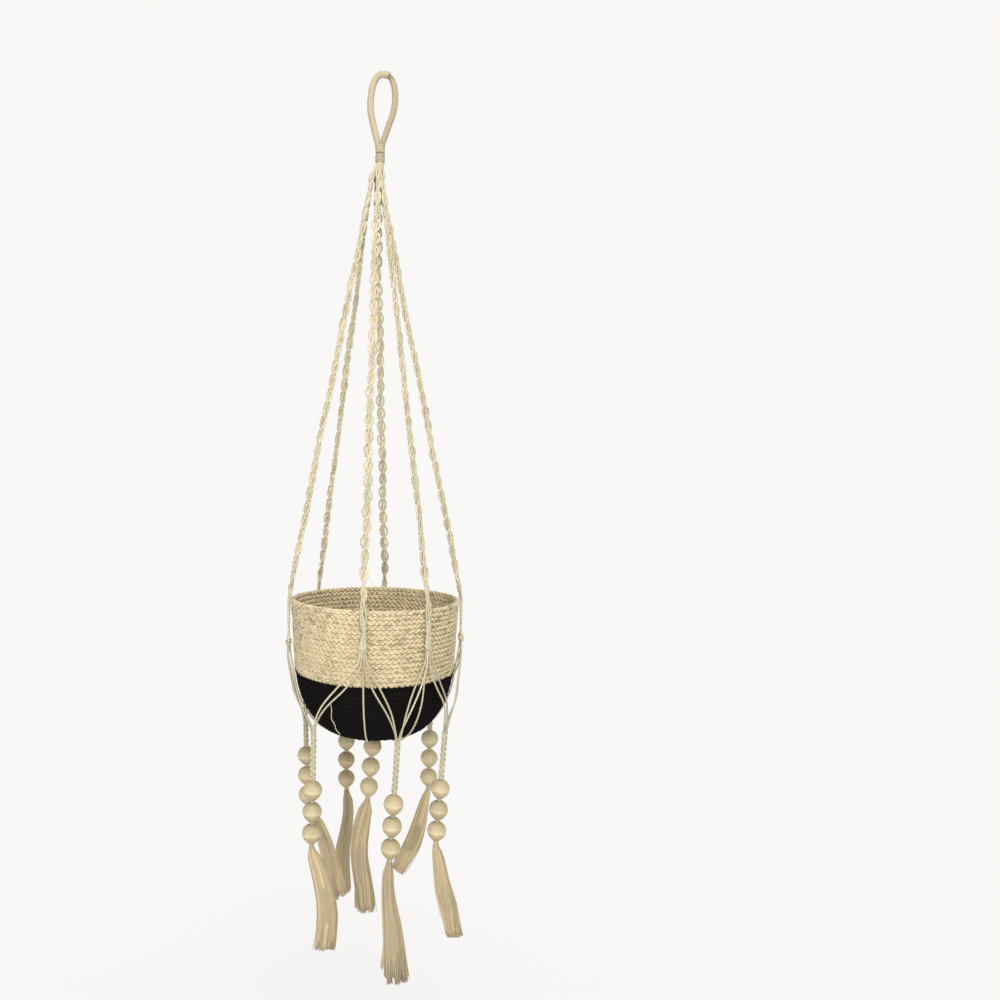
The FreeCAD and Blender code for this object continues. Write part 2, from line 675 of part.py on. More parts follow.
def head_round(name):
    """Radius of a stem's rounded head; its centre is where the string swings."""
    return CENTRE_HEAD_ROUND if name == "centre" else STEM_DIAMETER / 2


def stem(name):
    """Braided cords with a rounded head, thinner where they pass through the beads."""
    thick = STEM_DIAMETER / 2
    thin = THREADED_DIAMETER / 2
    first = first_bead_drop(name)
    foot = first + 2 * BEAD_PITCH + BEAD_HEIGHT / 2 + STEM_END
    shoulder = first - BEAD_HEIGHT / 2 - GAP
    top = thin if name == "centre" else thick
    bend = head_round(name)
    reach = asin(top / bend)
    outline = [
        (
            (0, 0),
            (bend * sin(reach / 2), -bend * (1 - cos(reach / 2))),
            (top, -bend * (1 - cos(reach))),
        )
    ]
    if top == thick:
        outline += [(thick, -shoulder), (thin, -shoulder)]
    outline += [(thin, -foot), (0, -foot)]
    solid = turned(outline)
    solid.Placement = string_frame(name)
    return solid


def bead(name, number):
    """Turned wooden bead, a rounded double cone with a bore for the cords."""
    half = BEAD_HEIGHT / 2
    wide = BEAD_DIAMETER / 2
    end = BEAD_END_DIAMETER / 2
    bore = THREADED_DIAMETER / 2 + SNUG
    belly = (BEAD_BELLY_DIAMETER / 2, BEAD_BELLY_RISE)
    solid = turned(
        [
            (bore, half),
            ((end, half), belly, (wide, 0)),
            ((wide, 0), (belly[0], -belly[1]), (end, -half)),
            (bore, -half),
        ]
    )
    solid.translate(Vector(0, 0, -first_bead_drop(name) - number * BEAD_PITCH))
    solid.Placement = string_frame(name).multiply(solid.Placement)
    return solid


def tassel(name):
    """Combed-out cord ends: a rounded neck under the lowest bead, then a soft spreading bundle."""
    frame = string_frame(name)
    drop = first_bead_drop(name) + 2 * BEAD_PITCH
    bead_middle = frame.multVec(Vector(0, 0, -drop))
    neck = TASSEL_NECK_DIAMETER / 2
    head = frame.multVec(Vector(0, 0, -drop - BEAD_HEIGHT / 2 - STEM_END - GAP - neck))
    spots = []
    for sideways, down, thickness in TASSELS[name]:
        spots.append((bead_middle + Vector(sideways, 0, -down), thickness / 2))
    way = (spots[0][0] - head).normalize()
    spots.insert(0, (head + way * TASSEL_NECK_LENGTH, neck))
    ways = [(b[0] - a[0]).normalize() for a, b in zip(spots, spots[1:])]
    facings = [ways[0]] + [(a + b).normalize() for a, b in zip(ways, ways[1:])] + [ways[-1]]
    rings = []
    for (spot, radius), facing in zip(spots, facings):
        rings.append(Part.Wire([Part.Circle(spot, facing, radius).toShape()]))
    bundle = Part.makeLoft(rings, True, True)
    cap = turned(
        [
            ((0, neck), (neck * cos(pi / 4), neck * sin(pi / 4)), (neck, 0)),
            (neck, -TASSEL_NECK_LENGTH),
            (0, -TASSEL_NECK_LENGTH),
        ]
    )
    cap.Placement = FreeCAD.Placement(head, FreeCAD.Rotation(DOWN, way))
    return cap.fuse(bundle).removeSplitter()


# ---- every node ---------------------------------------------------------------------------------------
save("hanging_loop", hanging_loop())
save("neck_whipping_upper", upper_whipping())
save("neck_whipping_lower", lower_whipping())
save("cord_crown", cord_crown())
save("basket_wall", basket_wall())
save("basket_bowl", black_bowl())
for i in range(len(LINE_ANGLES)):
    save(f"suspension_line_{i + 1}", *suspension_line(i))
    save(f"gathering_knot_{i + 1}", gathering_knot(i))
    save(f"net_cords_{i + 1}", *net_cords(i))
for string in [*STRINGS, "centre"]:
    save(f"stem_{string}", stem(string))
    for place, word in enumerate(("upper", "middle", "lower")):
        save(f"bead_{string}_{word}", bead(string, place))
    save(f"tassel_{string}", tassel(string))
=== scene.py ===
from math import cos, pi, radians, sin, sqrt, tan
from random import Random

import bpy
import numpy as np
from mathutils import Matrix, Vector


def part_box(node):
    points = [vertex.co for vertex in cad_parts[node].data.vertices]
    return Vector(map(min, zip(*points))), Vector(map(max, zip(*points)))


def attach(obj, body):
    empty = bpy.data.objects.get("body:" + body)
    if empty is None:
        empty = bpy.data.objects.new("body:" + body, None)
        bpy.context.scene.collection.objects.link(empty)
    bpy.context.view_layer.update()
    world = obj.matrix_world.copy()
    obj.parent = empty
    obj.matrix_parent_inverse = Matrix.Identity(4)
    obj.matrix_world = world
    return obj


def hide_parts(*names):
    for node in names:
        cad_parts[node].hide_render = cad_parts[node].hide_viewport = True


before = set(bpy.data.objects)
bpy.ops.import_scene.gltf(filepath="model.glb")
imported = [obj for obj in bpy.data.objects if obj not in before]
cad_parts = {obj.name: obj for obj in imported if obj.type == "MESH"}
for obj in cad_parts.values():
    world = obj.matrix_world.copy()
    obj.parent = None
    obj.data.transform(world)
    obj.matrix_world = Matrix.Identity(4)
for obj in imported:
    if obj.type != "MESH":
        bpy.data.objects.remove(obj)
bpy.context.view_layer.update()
for thing in list(bpy.context.selected_objects):
    thing.select_set(False)

# Sizes and routes are in millimetres here, and become metres where a mesh is made.
MM = 0.001


def placed(name, data):
    """A new object that is in the scene."""
    made = bpy.data.objects.new(name, data)
    bpy.context.scene.collection.objects.link(made)
    return made


# ---- camera ----
lens = bpy.data.cameras.new("camera")
lens.sensor_width = 36
lens.lens = 30.08
lens.shift_x = 0.1236
lens.shift_y = -0.02
camera = placed("camera", lens)
camera.location = (0, -1.002, -0.4747)
# It looks level but for a small dip, and is rolled a little.
CAMERA_DIP, CAMERA_ROLL = 0.34, 0.65
level = Matrix.Rotation(radians(90 - CAMERA_DIP), 3, "X")
camera.rotation_euler = (level @ Matrix.Rotation(radians(CAMERA_ROLL), 3, "Z")).to_euler()
bpy.context.scene.camera = camera

# ---- sizes of the real thing ----
GAP = 0.3
LINE_ANGLES = (190.0, 135.0, 83.0, -2.0, -55.0, -97.0)
CROWN_TOP = -102.7
LINE_TOP = (8.2, -121.75)
KNOT_PITCH = 17.0
KNOT_COUNT = 28
RIM_HEIGHT = -622.0
RIM_RADIUS = 100.0
RIM_POINT = (102.6, -616.0)
GATHER_DROPS = (52.0, 45.0, 45.0, 48.0, 43.0, 43.0)
GATHER_HEIGHT = 14.0
GATHER_DEPTH = 8.0
GATHER_AIR = 1.7
TAPER = radians(3.7)
NATURAL_ROWS = 16
NATURAL_HEIGHT = 85.0
# Each string: its junction's distance inside the rim and below the rim. The middle one hangs from under the bowl.
STRINGS = {"1": (12, 155), "2": (9, 148), "3": (5, 146), "4": (8, 148), "5": (9, 146), "6": (9, 147), "centre": None}
JUNCTION_ANGLES = {"1": 162.5, "2": 113, "3": 40.5, "4": -26.5, "5": -73, "6": -138}
STRING_LEANS = {"1": 2.0, "2": 0.5, "3": -0.8, "4": -4.2, "5": -3.2, "6": -0.5, "centre": -4.5}
# Below each lowest bead: how far right, how far down and how thick the tassel is, at five places.
TASSELS = {
    "1": ((5, 24, 12), (13.5, 36, 15), (24, 61.5, 18), (32, 98, 22), (41, 128, 21)),
    "2": ((2, 26, 12), (3.6, 44, 13.5), (0, 72, 15), (-5, 100, 18), (-2, 150, 18)),
    "3": ((-4, 27, 11), (-8, 45, 15), (-13, 67, 19), (-22, 91, 20), (-40, 122, 16)),
    "4": ((1.5, 27, 12), (4.5, 45, 16), (7.5, 63, 18), (15.5, 88, 19), (22, 123, 17)),
    "5": ((-2.5, 24, 11), (-2.5, 50, 14.5), (2, 80, 20), (5.8, 112, 24), (9, 149, 26)),
    "6": ((3, 27, 15), (9, 42, 19), (19, 84, 22), (18.5, 108, 22), (16, 134, 21)),
    "centre": ((-4, 27, 16), (-10, 54, 21), (-11.5, 84, 20), (-5, 116, 20.5), (0, 152, 20)),
}
BEAD_PITCH = 24.4
BEAD_HEIGHT = 21.6
# How far a stem's cord runs on past the lowest bead.
STEM_RUN_ON = 12
UP = np.array([0.0, 0.0, 1.0])


def around(angle, radius, height, sideways=0.0):
    """A point at an angle round the planter, moved sideways along the tangent."""
    a = radians(angle)
    return np.array([radius * cos(a) - sideways * sin(a), radius * sin(a) + sideways * cos(a), height])


def unit(v):
    return v / np.maximum(np.linalg.norm(v, axis=-1, keepdims=True), 1e-12)


def smooth(t):
    t = np.clip(t, 0, 1)
    return t * t * (3 - 2 * t)


def box_middle(node):
    low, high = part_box(node)
    return np.array((low + high) / 2) / MM


# ---- making cords ----
def route(points, step):
    """Points a step apart on the smooth line that a cord takes past its given points."""
    curve = bpy.data.curves.new("route", "CURVE")
    curve.dimensions = "3D"
    spline = curve.splines.new("NURBS")
    spline.points.add(len(points) - 1)
    for spot, where in zip(spline.points, points):
        spot.co = (*[x * MM for x in where], 1)
    spline.order_u = 3
    spline.use_endpoint_u = True
    spline.resolution_u = 24
    holder = placed("route", curve)
    mesh = bpy.data.meshes.new_from_object(holder)
    line = np.empty(len(mesh.vertices) * 3, np.float32)
    mesh.vertices.foreach_get("co", line)
    bpy.data.meshes.remove(mesh)
    bpy.data.objects.remove(holder)
    bpy.data.curves.remove(curve)
    line = line.reshape(-1, 3).astype(float) / MM
    length = distances(line)[-1]
    return points_at(line, np.linspace(0, length, max(2, int(round(length / step))) + 1))


def distances(line):
    """Length of the line from its start to each of its points."""
    return np.concatenate([[0], np.cumsum(np.linalg.norm(np.diff(line, axis=0), axis=1))])


def points_at(line, wanted):
    """Points at wanted distances along a line."""
    done = distances(line)
    return np.stack([np.interp(wanted, done, line[:, k]) for k in range(3)], 1)


def nearest(line, spot):
    """Number of the line's point that is nearest to a spot."""
    return int(np.argmin(np.linalg.norm(line - spot, axis=1)))


def frames(line, side=None):
    """Forward, sideways and outward directions at each point. side fixes what sideways means."""
    forward = unit(np.gradient(line, axis=0))
    if side is not None:
        side = np.broadcast_to(side, forward.shape)
        across = unit(side - forward * (side * forward).sum(1, keepdims=True))
        return forward, across, np.cross(forward, across)
    across = np.empty_like(forward)
    seed = np.array([0.0, 1.0, 0.0]) if abs(forward[0][1]) < 0.9 else np.array([1.0, 0.0, 0.0])
    now = unit(seed - forward[0] * (seed @ forward[0]))
    for i, way in enumerate(forward):
        now = now - way * (now @ way)
        now = now / np.linalg.norm(now)
        across[i] = now
    return forward, across, np.cross(forward, across)


def offset(line, x, y, side=None):
    """A line beside another one: x sideways and y outwards of it."""
    _, across, out = frames(line, side)
    return line + across * np.reshape(x, (-1, 1)) + out * np.reshape(y, (-1, 1))


class Heap:
    """Gathers cords and fibres that make one piece."""

    def __init__(self):
        self.spots, self.quads, self.tris = [], [], []
        self.quad_uvs, self.tri_uvs, self.tones = [], [], []
        self.count = 0

    def tube(self, line, radius, sides, tone, flat=1.0, lobes=0.0, lead=8.0, start=0.0, side=None):
        """A closed cord along a line. lobes makes it two twisted plies; flat squeezes it outwards."""
        line = np.asarray(line, float)
        rings = len(line)
        radius = np.broadcast_to(radius, rings).astype(float)
        _, across, out = frames(line, side)
        done = distances(line)
        turn = np.arange(sides) * 2 * pi / sides
        twist = 2 * pi * done / lead + start if lobes else np.full(rings, start)
        shape = 1 - lobes * (1 - np.abs(np.cos(turn))) if lobes else np.ones(sides)
        angle = turn[None, :] + twist[:, None]
        x = radius[:, None] * shape[None, :] * np.cos(angle)
        y = radius[:, None] * shape[None, :] * np.sin(angle) * flat
        ring = line[:, None, :] + across[:, None, :] * x[..., None] + out[:, None, :] * y[..., None]
        first = self.count
        self.spots += [ring.reshape(-1, 3), line[:1], line[-1:]]
        total = rings * sides + 2
        tone = np.broadcast_to(np.asarray(tone, np.float32), rings)
        self.tones.append(np.concatenate([np.repeat(tone, sides), tone[:1], tone[-1:]]))
        i = np.arange(rings - 1)[:, None] * sides
        j = np.arange(sides)[None, :]
        k = (j + 1) % sides
        self.quads.append((np.stack([i + j, i + k, i + sides + k, i + sides + j], -1) + first).reshape(-1, 4))
        # the texture's sizes are in centimetres
        girth = 2 * pi * radius.mean() / 10
        begin, end, u0 = (np.broadcast_to(x, (rings - 1, sides))
                          for x in (done[:-1, None] / 10, done[1:, None] / 10, (j / sides) * girth))
        u1 = u0 + girth / sides
        uv = np.stack([u0, begin, u1, begin, u1, end, u0, end], -1).reshape(-1, 8)
        shift = (float(tone[0]) * 37.0 + start) % 5.0
        uv[:, 0::2] += shift
        self.quad_uvs.append(uv)
        j, k = j[0], k[0]
        last = (rings - 1) * sides
        tops = np.stack([np.full(sides, rings * sides), k, j], -1)
        ends = np.stack([np.full(sides, rings * sides + 1), last + j, last + k], -1)
        self.tris.append(np.concatenate([tops, ends]) + first)
        self.tri_uvs.append(np.full((2 * sides, 6), shift))
        self.count += total

    def twine(self, line, diameter, tone, start=0.0):
        """Two-ply twine."""
        self.tube(line, diameter / 2, 8, tone, lobes=0.2, lead=8.5, start=start)

    def piece(self, name, material, body, *nodes, slot=None):
        """Makes the gathered cords one mesh that rides on a body and stands for CAD nodes."""
        spots = np.concatenate(self.spots) * MM
        quads, tris = np.concatenate(self.quads), np.concatenate(self.tris)
        mesh = bpy.data.meshes.new(name)
        mesh.vertices.add(len(spots))
        mesh.vertices.foreach_set("co", spots.astype(np.float32).ravel())
        mesh.loops.add(quads.size + tris.size)
        mesh.polygons.add(len(quads) + len(tris))
        starts = np.concatenate([np.arange(len(quads)) * 4, quads.size + np.arange(len(tris)) * 3])
        mesh.polygons.foreach_set("loop_start", starts.astype(np.int32))
        corners = np.concatenate([quads.ravel(), tris.ravel()]).astype(np.int32)
        mesh.polygons.foreach_set("vertices", corners)
        mesh.update(calc_edges=True)
        layer = mesh.uv_layers.new(name="UVMap")
        uv = np.concatenate([np.concatenate(self.quad_uvs).ravel(), np.concatenate(self.tri_uvs).ravel()])
        layer.data.foreach_set("uv", uv.astype(np.float32))
        tone = mesh.attributes.new("tone", "FLOAT", "POINT")
        tone.data.foreach_set("value", np.concatenate(self.tones).astype(np.float32))
        mesh.polygons.foreach_set("use_smooth", np.ones(len(mesh.polygons), bool))
        mesh.validate()
        return dress(placed(name, mesh), material, body, *nodes, slot=slot)


def dress(made, material, body, *nodes, slot=None):
    """Gives a finished piece its material, its body and the CAD nodes that it stands for."""
    made.data.materials.clear()
    made.data.materials.append(material)
    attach(made, body)
    if nodes:
        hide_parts(*nodes)
    return made


# ---- finishes ----
def colour(red, green, blue):
    """A colour in screen values as the shader wants it."""
    return tuple(((c / 255 + 0.055) / 1.055) ** 2.4 if c > 10 else c / 255 / 12.92 for c in (red, green, blue)) + (1,)


def group(name, inputs, outputs):
    """An empty node group with its input and output nodes."""
    made = bpy.data.node_groups.new(name, "ShaderNodeTree")
    for way, sockets in (("INPUT", inputs), ("OUTPUT", outputs)):
        for word, kind in sockets.items():
            made.interface.new_socket(name=word, in_out=way, socket_type="NodeSocket" + kind)
    return made, made.nodes.new("NodeGroupInput"), made.nodes.new("NodeGroupOutput")


def feed(tree, node, inputs):
    """Sets a node's inputs, each by a value or by the socket that it follows."""
    for key, value in inputs.items():
        if isinstance(value, bpy.types.NodeSocket):
            tree.links.new(value, node.inputs[key])
        else:
            node.inputs[key].default_value = value


def add(tree, kind, inputs=None):
    """A new shader node with its inputs set."""
    node = tree.nodes.new("ShaderNode" + kind)
    feed(tree, node, inputs or {})
    return node


def fibre_group():
    """Long streaks that run along a cord's fibres, for colour and for bump."""
    made, given, out = group("fibre streaks", {"Vector": "Vector", "Across": "Float", "Along": "Float"},
                             {"Streak": "Float", "Height": "Float"})
    across, along = given.outputs["Across"], given.outputs["Along"]
    stretch = add(made, "CombineXYZ", {0: across, 1: along, 2: across})
    stretched = add(made, "VectorMath")
    stretched.operation = "MULTIPLY"
    feed(made, stretched, {0: given.outputs["Vector"], 1: stretch.outputs[0]})
    noise = add(made, "TexNoise", {"Vector": stretched.outputs[0], "Scale": 1.0, "Detail": 4.0})
    spread = add(made, "MapRange", {"Value": noise.outputs["Fac"], "From Min": 0.3, "From Max": 0.7})
    feed(made, out, {"Streak": spread.outputs[0], "Height": noise.outputs["Fac"]})
    return made


def patch_group():
    """Two broad uneven patterns, as from sun and handling."""
    made, given, out = group("uneven patches", {"Size": "Float"}, {"Patch": "Float", "Tint": "Float"})
    where = add(made, "TexCoord")
    for aside, socket in ((0.0, "Patch"), (7.0, "Tint")):
        moved = add(made, "Mapping", {"Vector": where.outputs["Object"], "Location": (aside, aside, 0)})
        noise = add(made, "TexNoise", {"Vector": moved.outputs[0], "Scale": given.outputs["Size"], "Detail": 2.0})
        spread = add(made, "MapRange", {"Value": noise.outputs["Fac"], "From Min": 0.38, "From Max": 0.64})
        feed(made, out, {socket: spread.outputs[0]})
    return made


FIBRE = fibre_group()
PATCH = patch_group()


def mix(tree, factor, first, second, blend="MIX"):
    """A colour mix node; each argument is a socket or a value."""
    node = add(tree, "Mix")
    node.data_type = "RGBA"
    node.blend_type = blend
    feed(tree, node, {0: factor, 6: first, 7: second})
    return node.outputs[2]


def scaled(tree, socket, low, high):
    """A mask brought to a range."""
    return add(tree, "MapRange", {"Value": socket, "To Min": low, "To Max": high}).outputs[0]


def new_material(name):
    """An empty finish: the material, its nodes and its shader."""
    made = bpy.data.materials.new(name)
    made.use_nodes = True
    return made, made.node_tree, made.node_tree.nodes["Principled BSDF"]


def own_group(tree, kind, inputs):
    """One of this script's node groups, used in a material."""
    node = add(tree, "Group")
    node.node_tree = kind
    feed(tree, node, inputs)
    return node


def tone_of(tree):
    """The shade that is kept with each point of a mesh."""
    node = add(tree, "Attribute")
    node.attribute_name = "tone"
    return node.outputs["Fac"]


def fibrous(name, light, dark, patch, tint, across, along, bump, rough=(0.7, 0.95), sheen=0.25, tone_low=0.78,
            patch_size=30.0, specular=0.3):
    """A cord or fibre finish: streaks along the fibres, a tone kept with each point (each cord's own, and on some
    pieces painted light and shade), broad patches.
    """
    made, tree, shader = new_material(name)
    uv = add(tree, "UVMap")
    uv.uv_map = "UVMap"
    streaks = own_group(tree, FIBRE, {"Vector": uv.outputs[0], "Across": across, "Along": along})
    patches = own_group(tree, PATCH, {"Size": patch_size})
    base = mix(tree, streaks.outputs["Streak"], colour(*dark), colour(*light))
    base = mix(tree, scaled(tree, patches.outputs["Patch"], 0.0, 0.5), base, colour(*patch))
    base = mix(tree, scaled(tree, patches.outputs["Tint"], 0.0, 0.5), base, colour(*tint))
    shade = scaled(tree, tone_of(tree), tone_low, 1.0)
    grey = add(tree, "CombineColor", {0: shade, 1: shade, 2: shade})
    raised = add(tree, "Bump", {"Height": streaks.outputs["Height"], "Strength": bump, "Distance": 0.00025})
    feed(tree, shader, {
        "Base Color": mix(tree, 1.0, base, grey.outputs[0], "MULTIPLY"),
        "Roughness": scaled(tree, streaks.outputs["Streak"], rough[1], rough[0]),
        "Sheen Weight": sheen, "Sheen Roughness": 0.5, "Specular IOR Level": specular, "Normal": raised.outputs[0],
    })
    return made


def turned_wood():
    """Pale raw wood: rings in soft bands across each bead, fine pores and a little pink."""
    made, tree, shader = new_material("turned wood")
    where = add(tree, "TexCoord")
    tilt = add(tree, "Mapping",
               {"Vector": where.outputs["Object"], "Rotation": (0.5, 0.3, 0.0), "Scale": (1.0, 1.0, 0.12)})
    grain = add(tree, "TexNoise", {"Vector": tilt.outputs[0], "Scale": 420.0, "Detail": 5.0, "Distortion": 0.4})
    patches = own_group(tree, PATCH, {"Size": 45.0})
    streak = add(tree, "MapRange", {"Value": grain.outputs["Fac"], "From Min": 0.35, "From Max": 0.65}).outputs[0]
    base = mix(tree, streak, colour(206, 192, 154), colour(226, 214, 176))
    base = mix(tree, scaled(tree, patches.outputs["Patch"], 0.0, 0.5), base, colour(222, 194, 160))
    # the tone kept with each point darkens the wood towards this colour; it carries the wood's own variation and the
    # beads' painted light and shade
    base = mix(tree, scaled(tree, tone_of(tree), 0.0, 0.8), base, colour(166, 152, 112))
    raised = add(tree, "Bump", {"Height": grain.outputs["Fac"], "Strength": 0.25, "Distance": 0.0002})
    feed(tree, shader, {"Base Color": base, "Roughness": scaled(tree, streak, 0.62, 0.5), "Specular IOR Level": 0.35,
                        "Normal": raised.outputs[0]})
    return made


# Each finish: the light and dark colour of its streaks, the two colours of its patches, and how fine the streaks are
# across and along and how high.
JUTE = fibrous("jute twine", (246, 236, 204), (222, 211, 175), (248, 218, 188), (214, 216, 176), 24, 0.8, 0.25,
               tone_low=0.62)
WRAP = fibrous("wrapped jute", (205, 195, 164), (182, 169, 136), (198, 180, 148), (184, 181, 149), 22, 0.7, 0.3,
               tone_low=0.55)
BARE = fibrous("bare jute of the loop", (198, 182, 154), (172, 157, 127), (200, 174, 148), (174, 166, 134), 22, 0.7,
               0.3, tone_low=0.5)
NATURAL = fibrous("natural plait", (247, 234, 198), (218, 200, 158), (204, 182, 141), (240, 223, 184), 22, 1.2, 0.5,
                  sheen=0.08, tone_low=0.45, patch_size=95)
BLACK = fibrous("black plait", (27, 25, 21), (15, 14, 12), (24, 22, 18), (20, 20, 20), 26, 1.6, 0.5, (0.9, 1.0), 0.0,
                specular=0.08)
COMBED = fibrous("combed jute", (234, 215, 177), (207, 187, 146), (226, 198, 158), (209, 195, 154), 14, 0.25, 0.25,
                 (0.5, 0.75), 0.2, 0.42)
WOOD = turned_wood()

# ---- hanging loop and neck ----
# The eye's route: up one leg, over the hook's bearing point and down the other.
LEFT_LEG = ((-2.4, 0, -88), (-2.7, 0, -80), (-4.4, 0, -72), (-9.6, 0, -55), (-14.2, 0, -39), (-14.9, 0, -22),
            (-12.2, 0, -5), (-5.6, 0, 4.4))
EYE_ROUTE = LEFT_LEG + tuple((-x, y, z) for x, y, z in LEFT_LEG[::-1])
# The share of the eye's length that the sleeve covers, and the width of the tape.
SLEEVE_SHARE = 0.536
TAPE_WIDTH = 8.5
WHIPPING_RADIUS = 5.7


def hanging_loop():
    """Jute tape wound round the eye's cord; the sleeve from the left leg ends over the right shoulder."""
    line = route(EYE_ROUTE, 0.6)
    line[:, 0] += 3.2 * smooth((line[:, 2] + 84) / 80)
    done = distances(line)
    pinch = 0.78 + 0.22 * smooth((line[:, 2] + 84) / 14)
    ends = int(len(line) * SLEEVE_SHARE)
    sides = 28
    # the bare leg is drawn in where the sleeve's end stands over it, and a painted shadow darkens it there
    near_end = np.exp(-(((done - done[ends]) / 5.5) ** 2))
    even = np.ones_like(done)
    parts = (
        ("bare_leg_of_loop", BARE, slice(ends - 6, None), 3.7 * (1 - 0.2 * near_end), 0.85 * (1 - near_end), ()),
        ("sleeve_of_loop", WRAP, slice(0, ends), 4.0 * even, 0.95 * even, ("hanging_loop",)),
    )
    for name, material, part, base, tone, nodes in parts:
        heap = Heap()
        piece = line[part]
        radius = (base * pinch)[part]
        if part.start == 0:
            radius[-12:] *= np.linspace(1.0, 1.1, 12)
            radius[-1] *= 0.92
        heap.tube(piece, radius, sides, tone[part], side=np.array([0.0, 1.0, 0.0]))
        # each turn of the tape stands a little proud along one edge
        ring = heap.spots[-3].reshape(len(piece), sides, 3)
        wound = distances(piece)[:, None]
        phase = wound / TAPE_WIDTH - np.arange(sides)[None, :] / sides + 0.08 * np.sin(wound / 9)
        step = 1 + 0.03 * (np.mod(phase, 1.0) - 0.5) + 0.01 * np.sin(np.arange(sides) * 3)[None, :]
        heap.spots[-3] = (piece[:, None, :] + (ring - piece[:, None, :]) * step[..., None]).reshape(-1, 3)
        heap.piece(name, material, "loop", *nodes, slot="wrapped_jute")


def whipping(word, body, top, foot, sense, tone, core_end):
    """A close winding of flat jute round the neck, and the cords' core inside it."""
    turns = 5
    strand = (top - foot) / (turns + 0.15)
    t = np.linspace(0, 1, turns * 26)
    angle = sense * t * turns * 2 * pi + 0.8
    height = top - strand * 0.55 - t * (top - foot - strand * 1.1)
    radius = WHIPPING_RADIUS - 0.42 + 0.1 * np.sin(angle * 0.5)
    line = np.stack([radius * np.cos(angle), radius * np.sin(angle), height], 1)
    heap = Heap()
    heap.tube(line, strand * 0.53, 8, tone, flat=0.42, side=UP)
    heap.tube([(0, 0, top - 0.15), (0, 0, (top + foot) / 2), (0, 0, foot + core_end)], WHIPPING_RADIUS - 0.5, 24,
              tone * 0.4)
    heap.piece(f"{word}_whipping", WRAP, body, f"neck_whipping_{word}", slot="wrapped_jute")


hanging_loop()
whipping("upper", "loop", -79.0, -90.7, 1, 0.85, 0.15)
whipping("lower", "neck", -91.0, -102.7, -1, 0.6, 3.2)


# ---- suspension lines ----
# How far each line's flat side is turned, and how far left it leaves the neck.
FLAT_TURNS = (-36, -84, 5, 44, -14, 0)
TOP_SHIFTS = (-1.0, -5.0, -5.0, -8.0, -2.0, -1.0)
# On some lines one more knot is tied, close above the rim.
EXTRA_KNOTS = (1, 1, 1, 1, 0, 0)
# The cords inside the neck stand in a ring of this radius.
NECK_RING = 1.65
# Sideways and outwards places of the five cords where they leave the last knot.
OPEN_PLACES = ((-3.4, 0.3), (3.3, -0.2), (-1.2, 0.8), (1.3, -0.6), (0.1, 1.1))
# A knot's winding: turns round the fillers, and its radius.
WINDING_TURNS, WINDING_RADIUS = 1.35, 1.5


def knot_radius(index):
    """Distance of a gathering knot's middle from the axis."""
    return RIM_RADIUS - tan(TAPER) * (GATHER_DROPS[index] - GATHER_HEIGHT / 2) + GAP + GATHER_AIR + GATHER_DEPTH / 2


def line_route(index):
    """Points of a line's middle: out of the neck, straight to the rim, over it and down the wall."""
    angle = LINE_ANGLES[index]
    gather = -(GATHER_DROPS[index] - GATHER_HEIGHT / 2)
    knot = knot_radius(index)
    run = np.array(RIM_POINT) - np.array(LINE_TOP)
    before = np.array(RIM_POINT) - run / np.linalg.norm(run) * 30
    points = [(2.2, -98.6), (3.4, -103.0), (6.6, -112.5), LINE_TOP]
    points += [np.array(LINE_TOP) + run * share for share in (0.06, 0.3, 0.55, 0.8)]
    points += [before, RIM_POINT, (RIM_RADIUS + 2.9, RIM_HEIGHT + gather * 0.45),
               (knot - 0.4, RIM_HEIGHT + gather + 3), (knot, RIM_HEIGHT + gather - 5)]
    # at the neck some lines leave a little to the left; the difference is gone at the rim
    top, foot = LINE_TOP[1], RIM_POINT[1]
    made = []
    for r, z in points:
        shift = TOP_SHIFTS[index] * min(max((z - foot) / (top - foot), 0), 1) * smooth((CROWN_TOP - z) / 12)
        made.append(around(angle, r, z) + np.array([shift, 0, 0]))
    return made


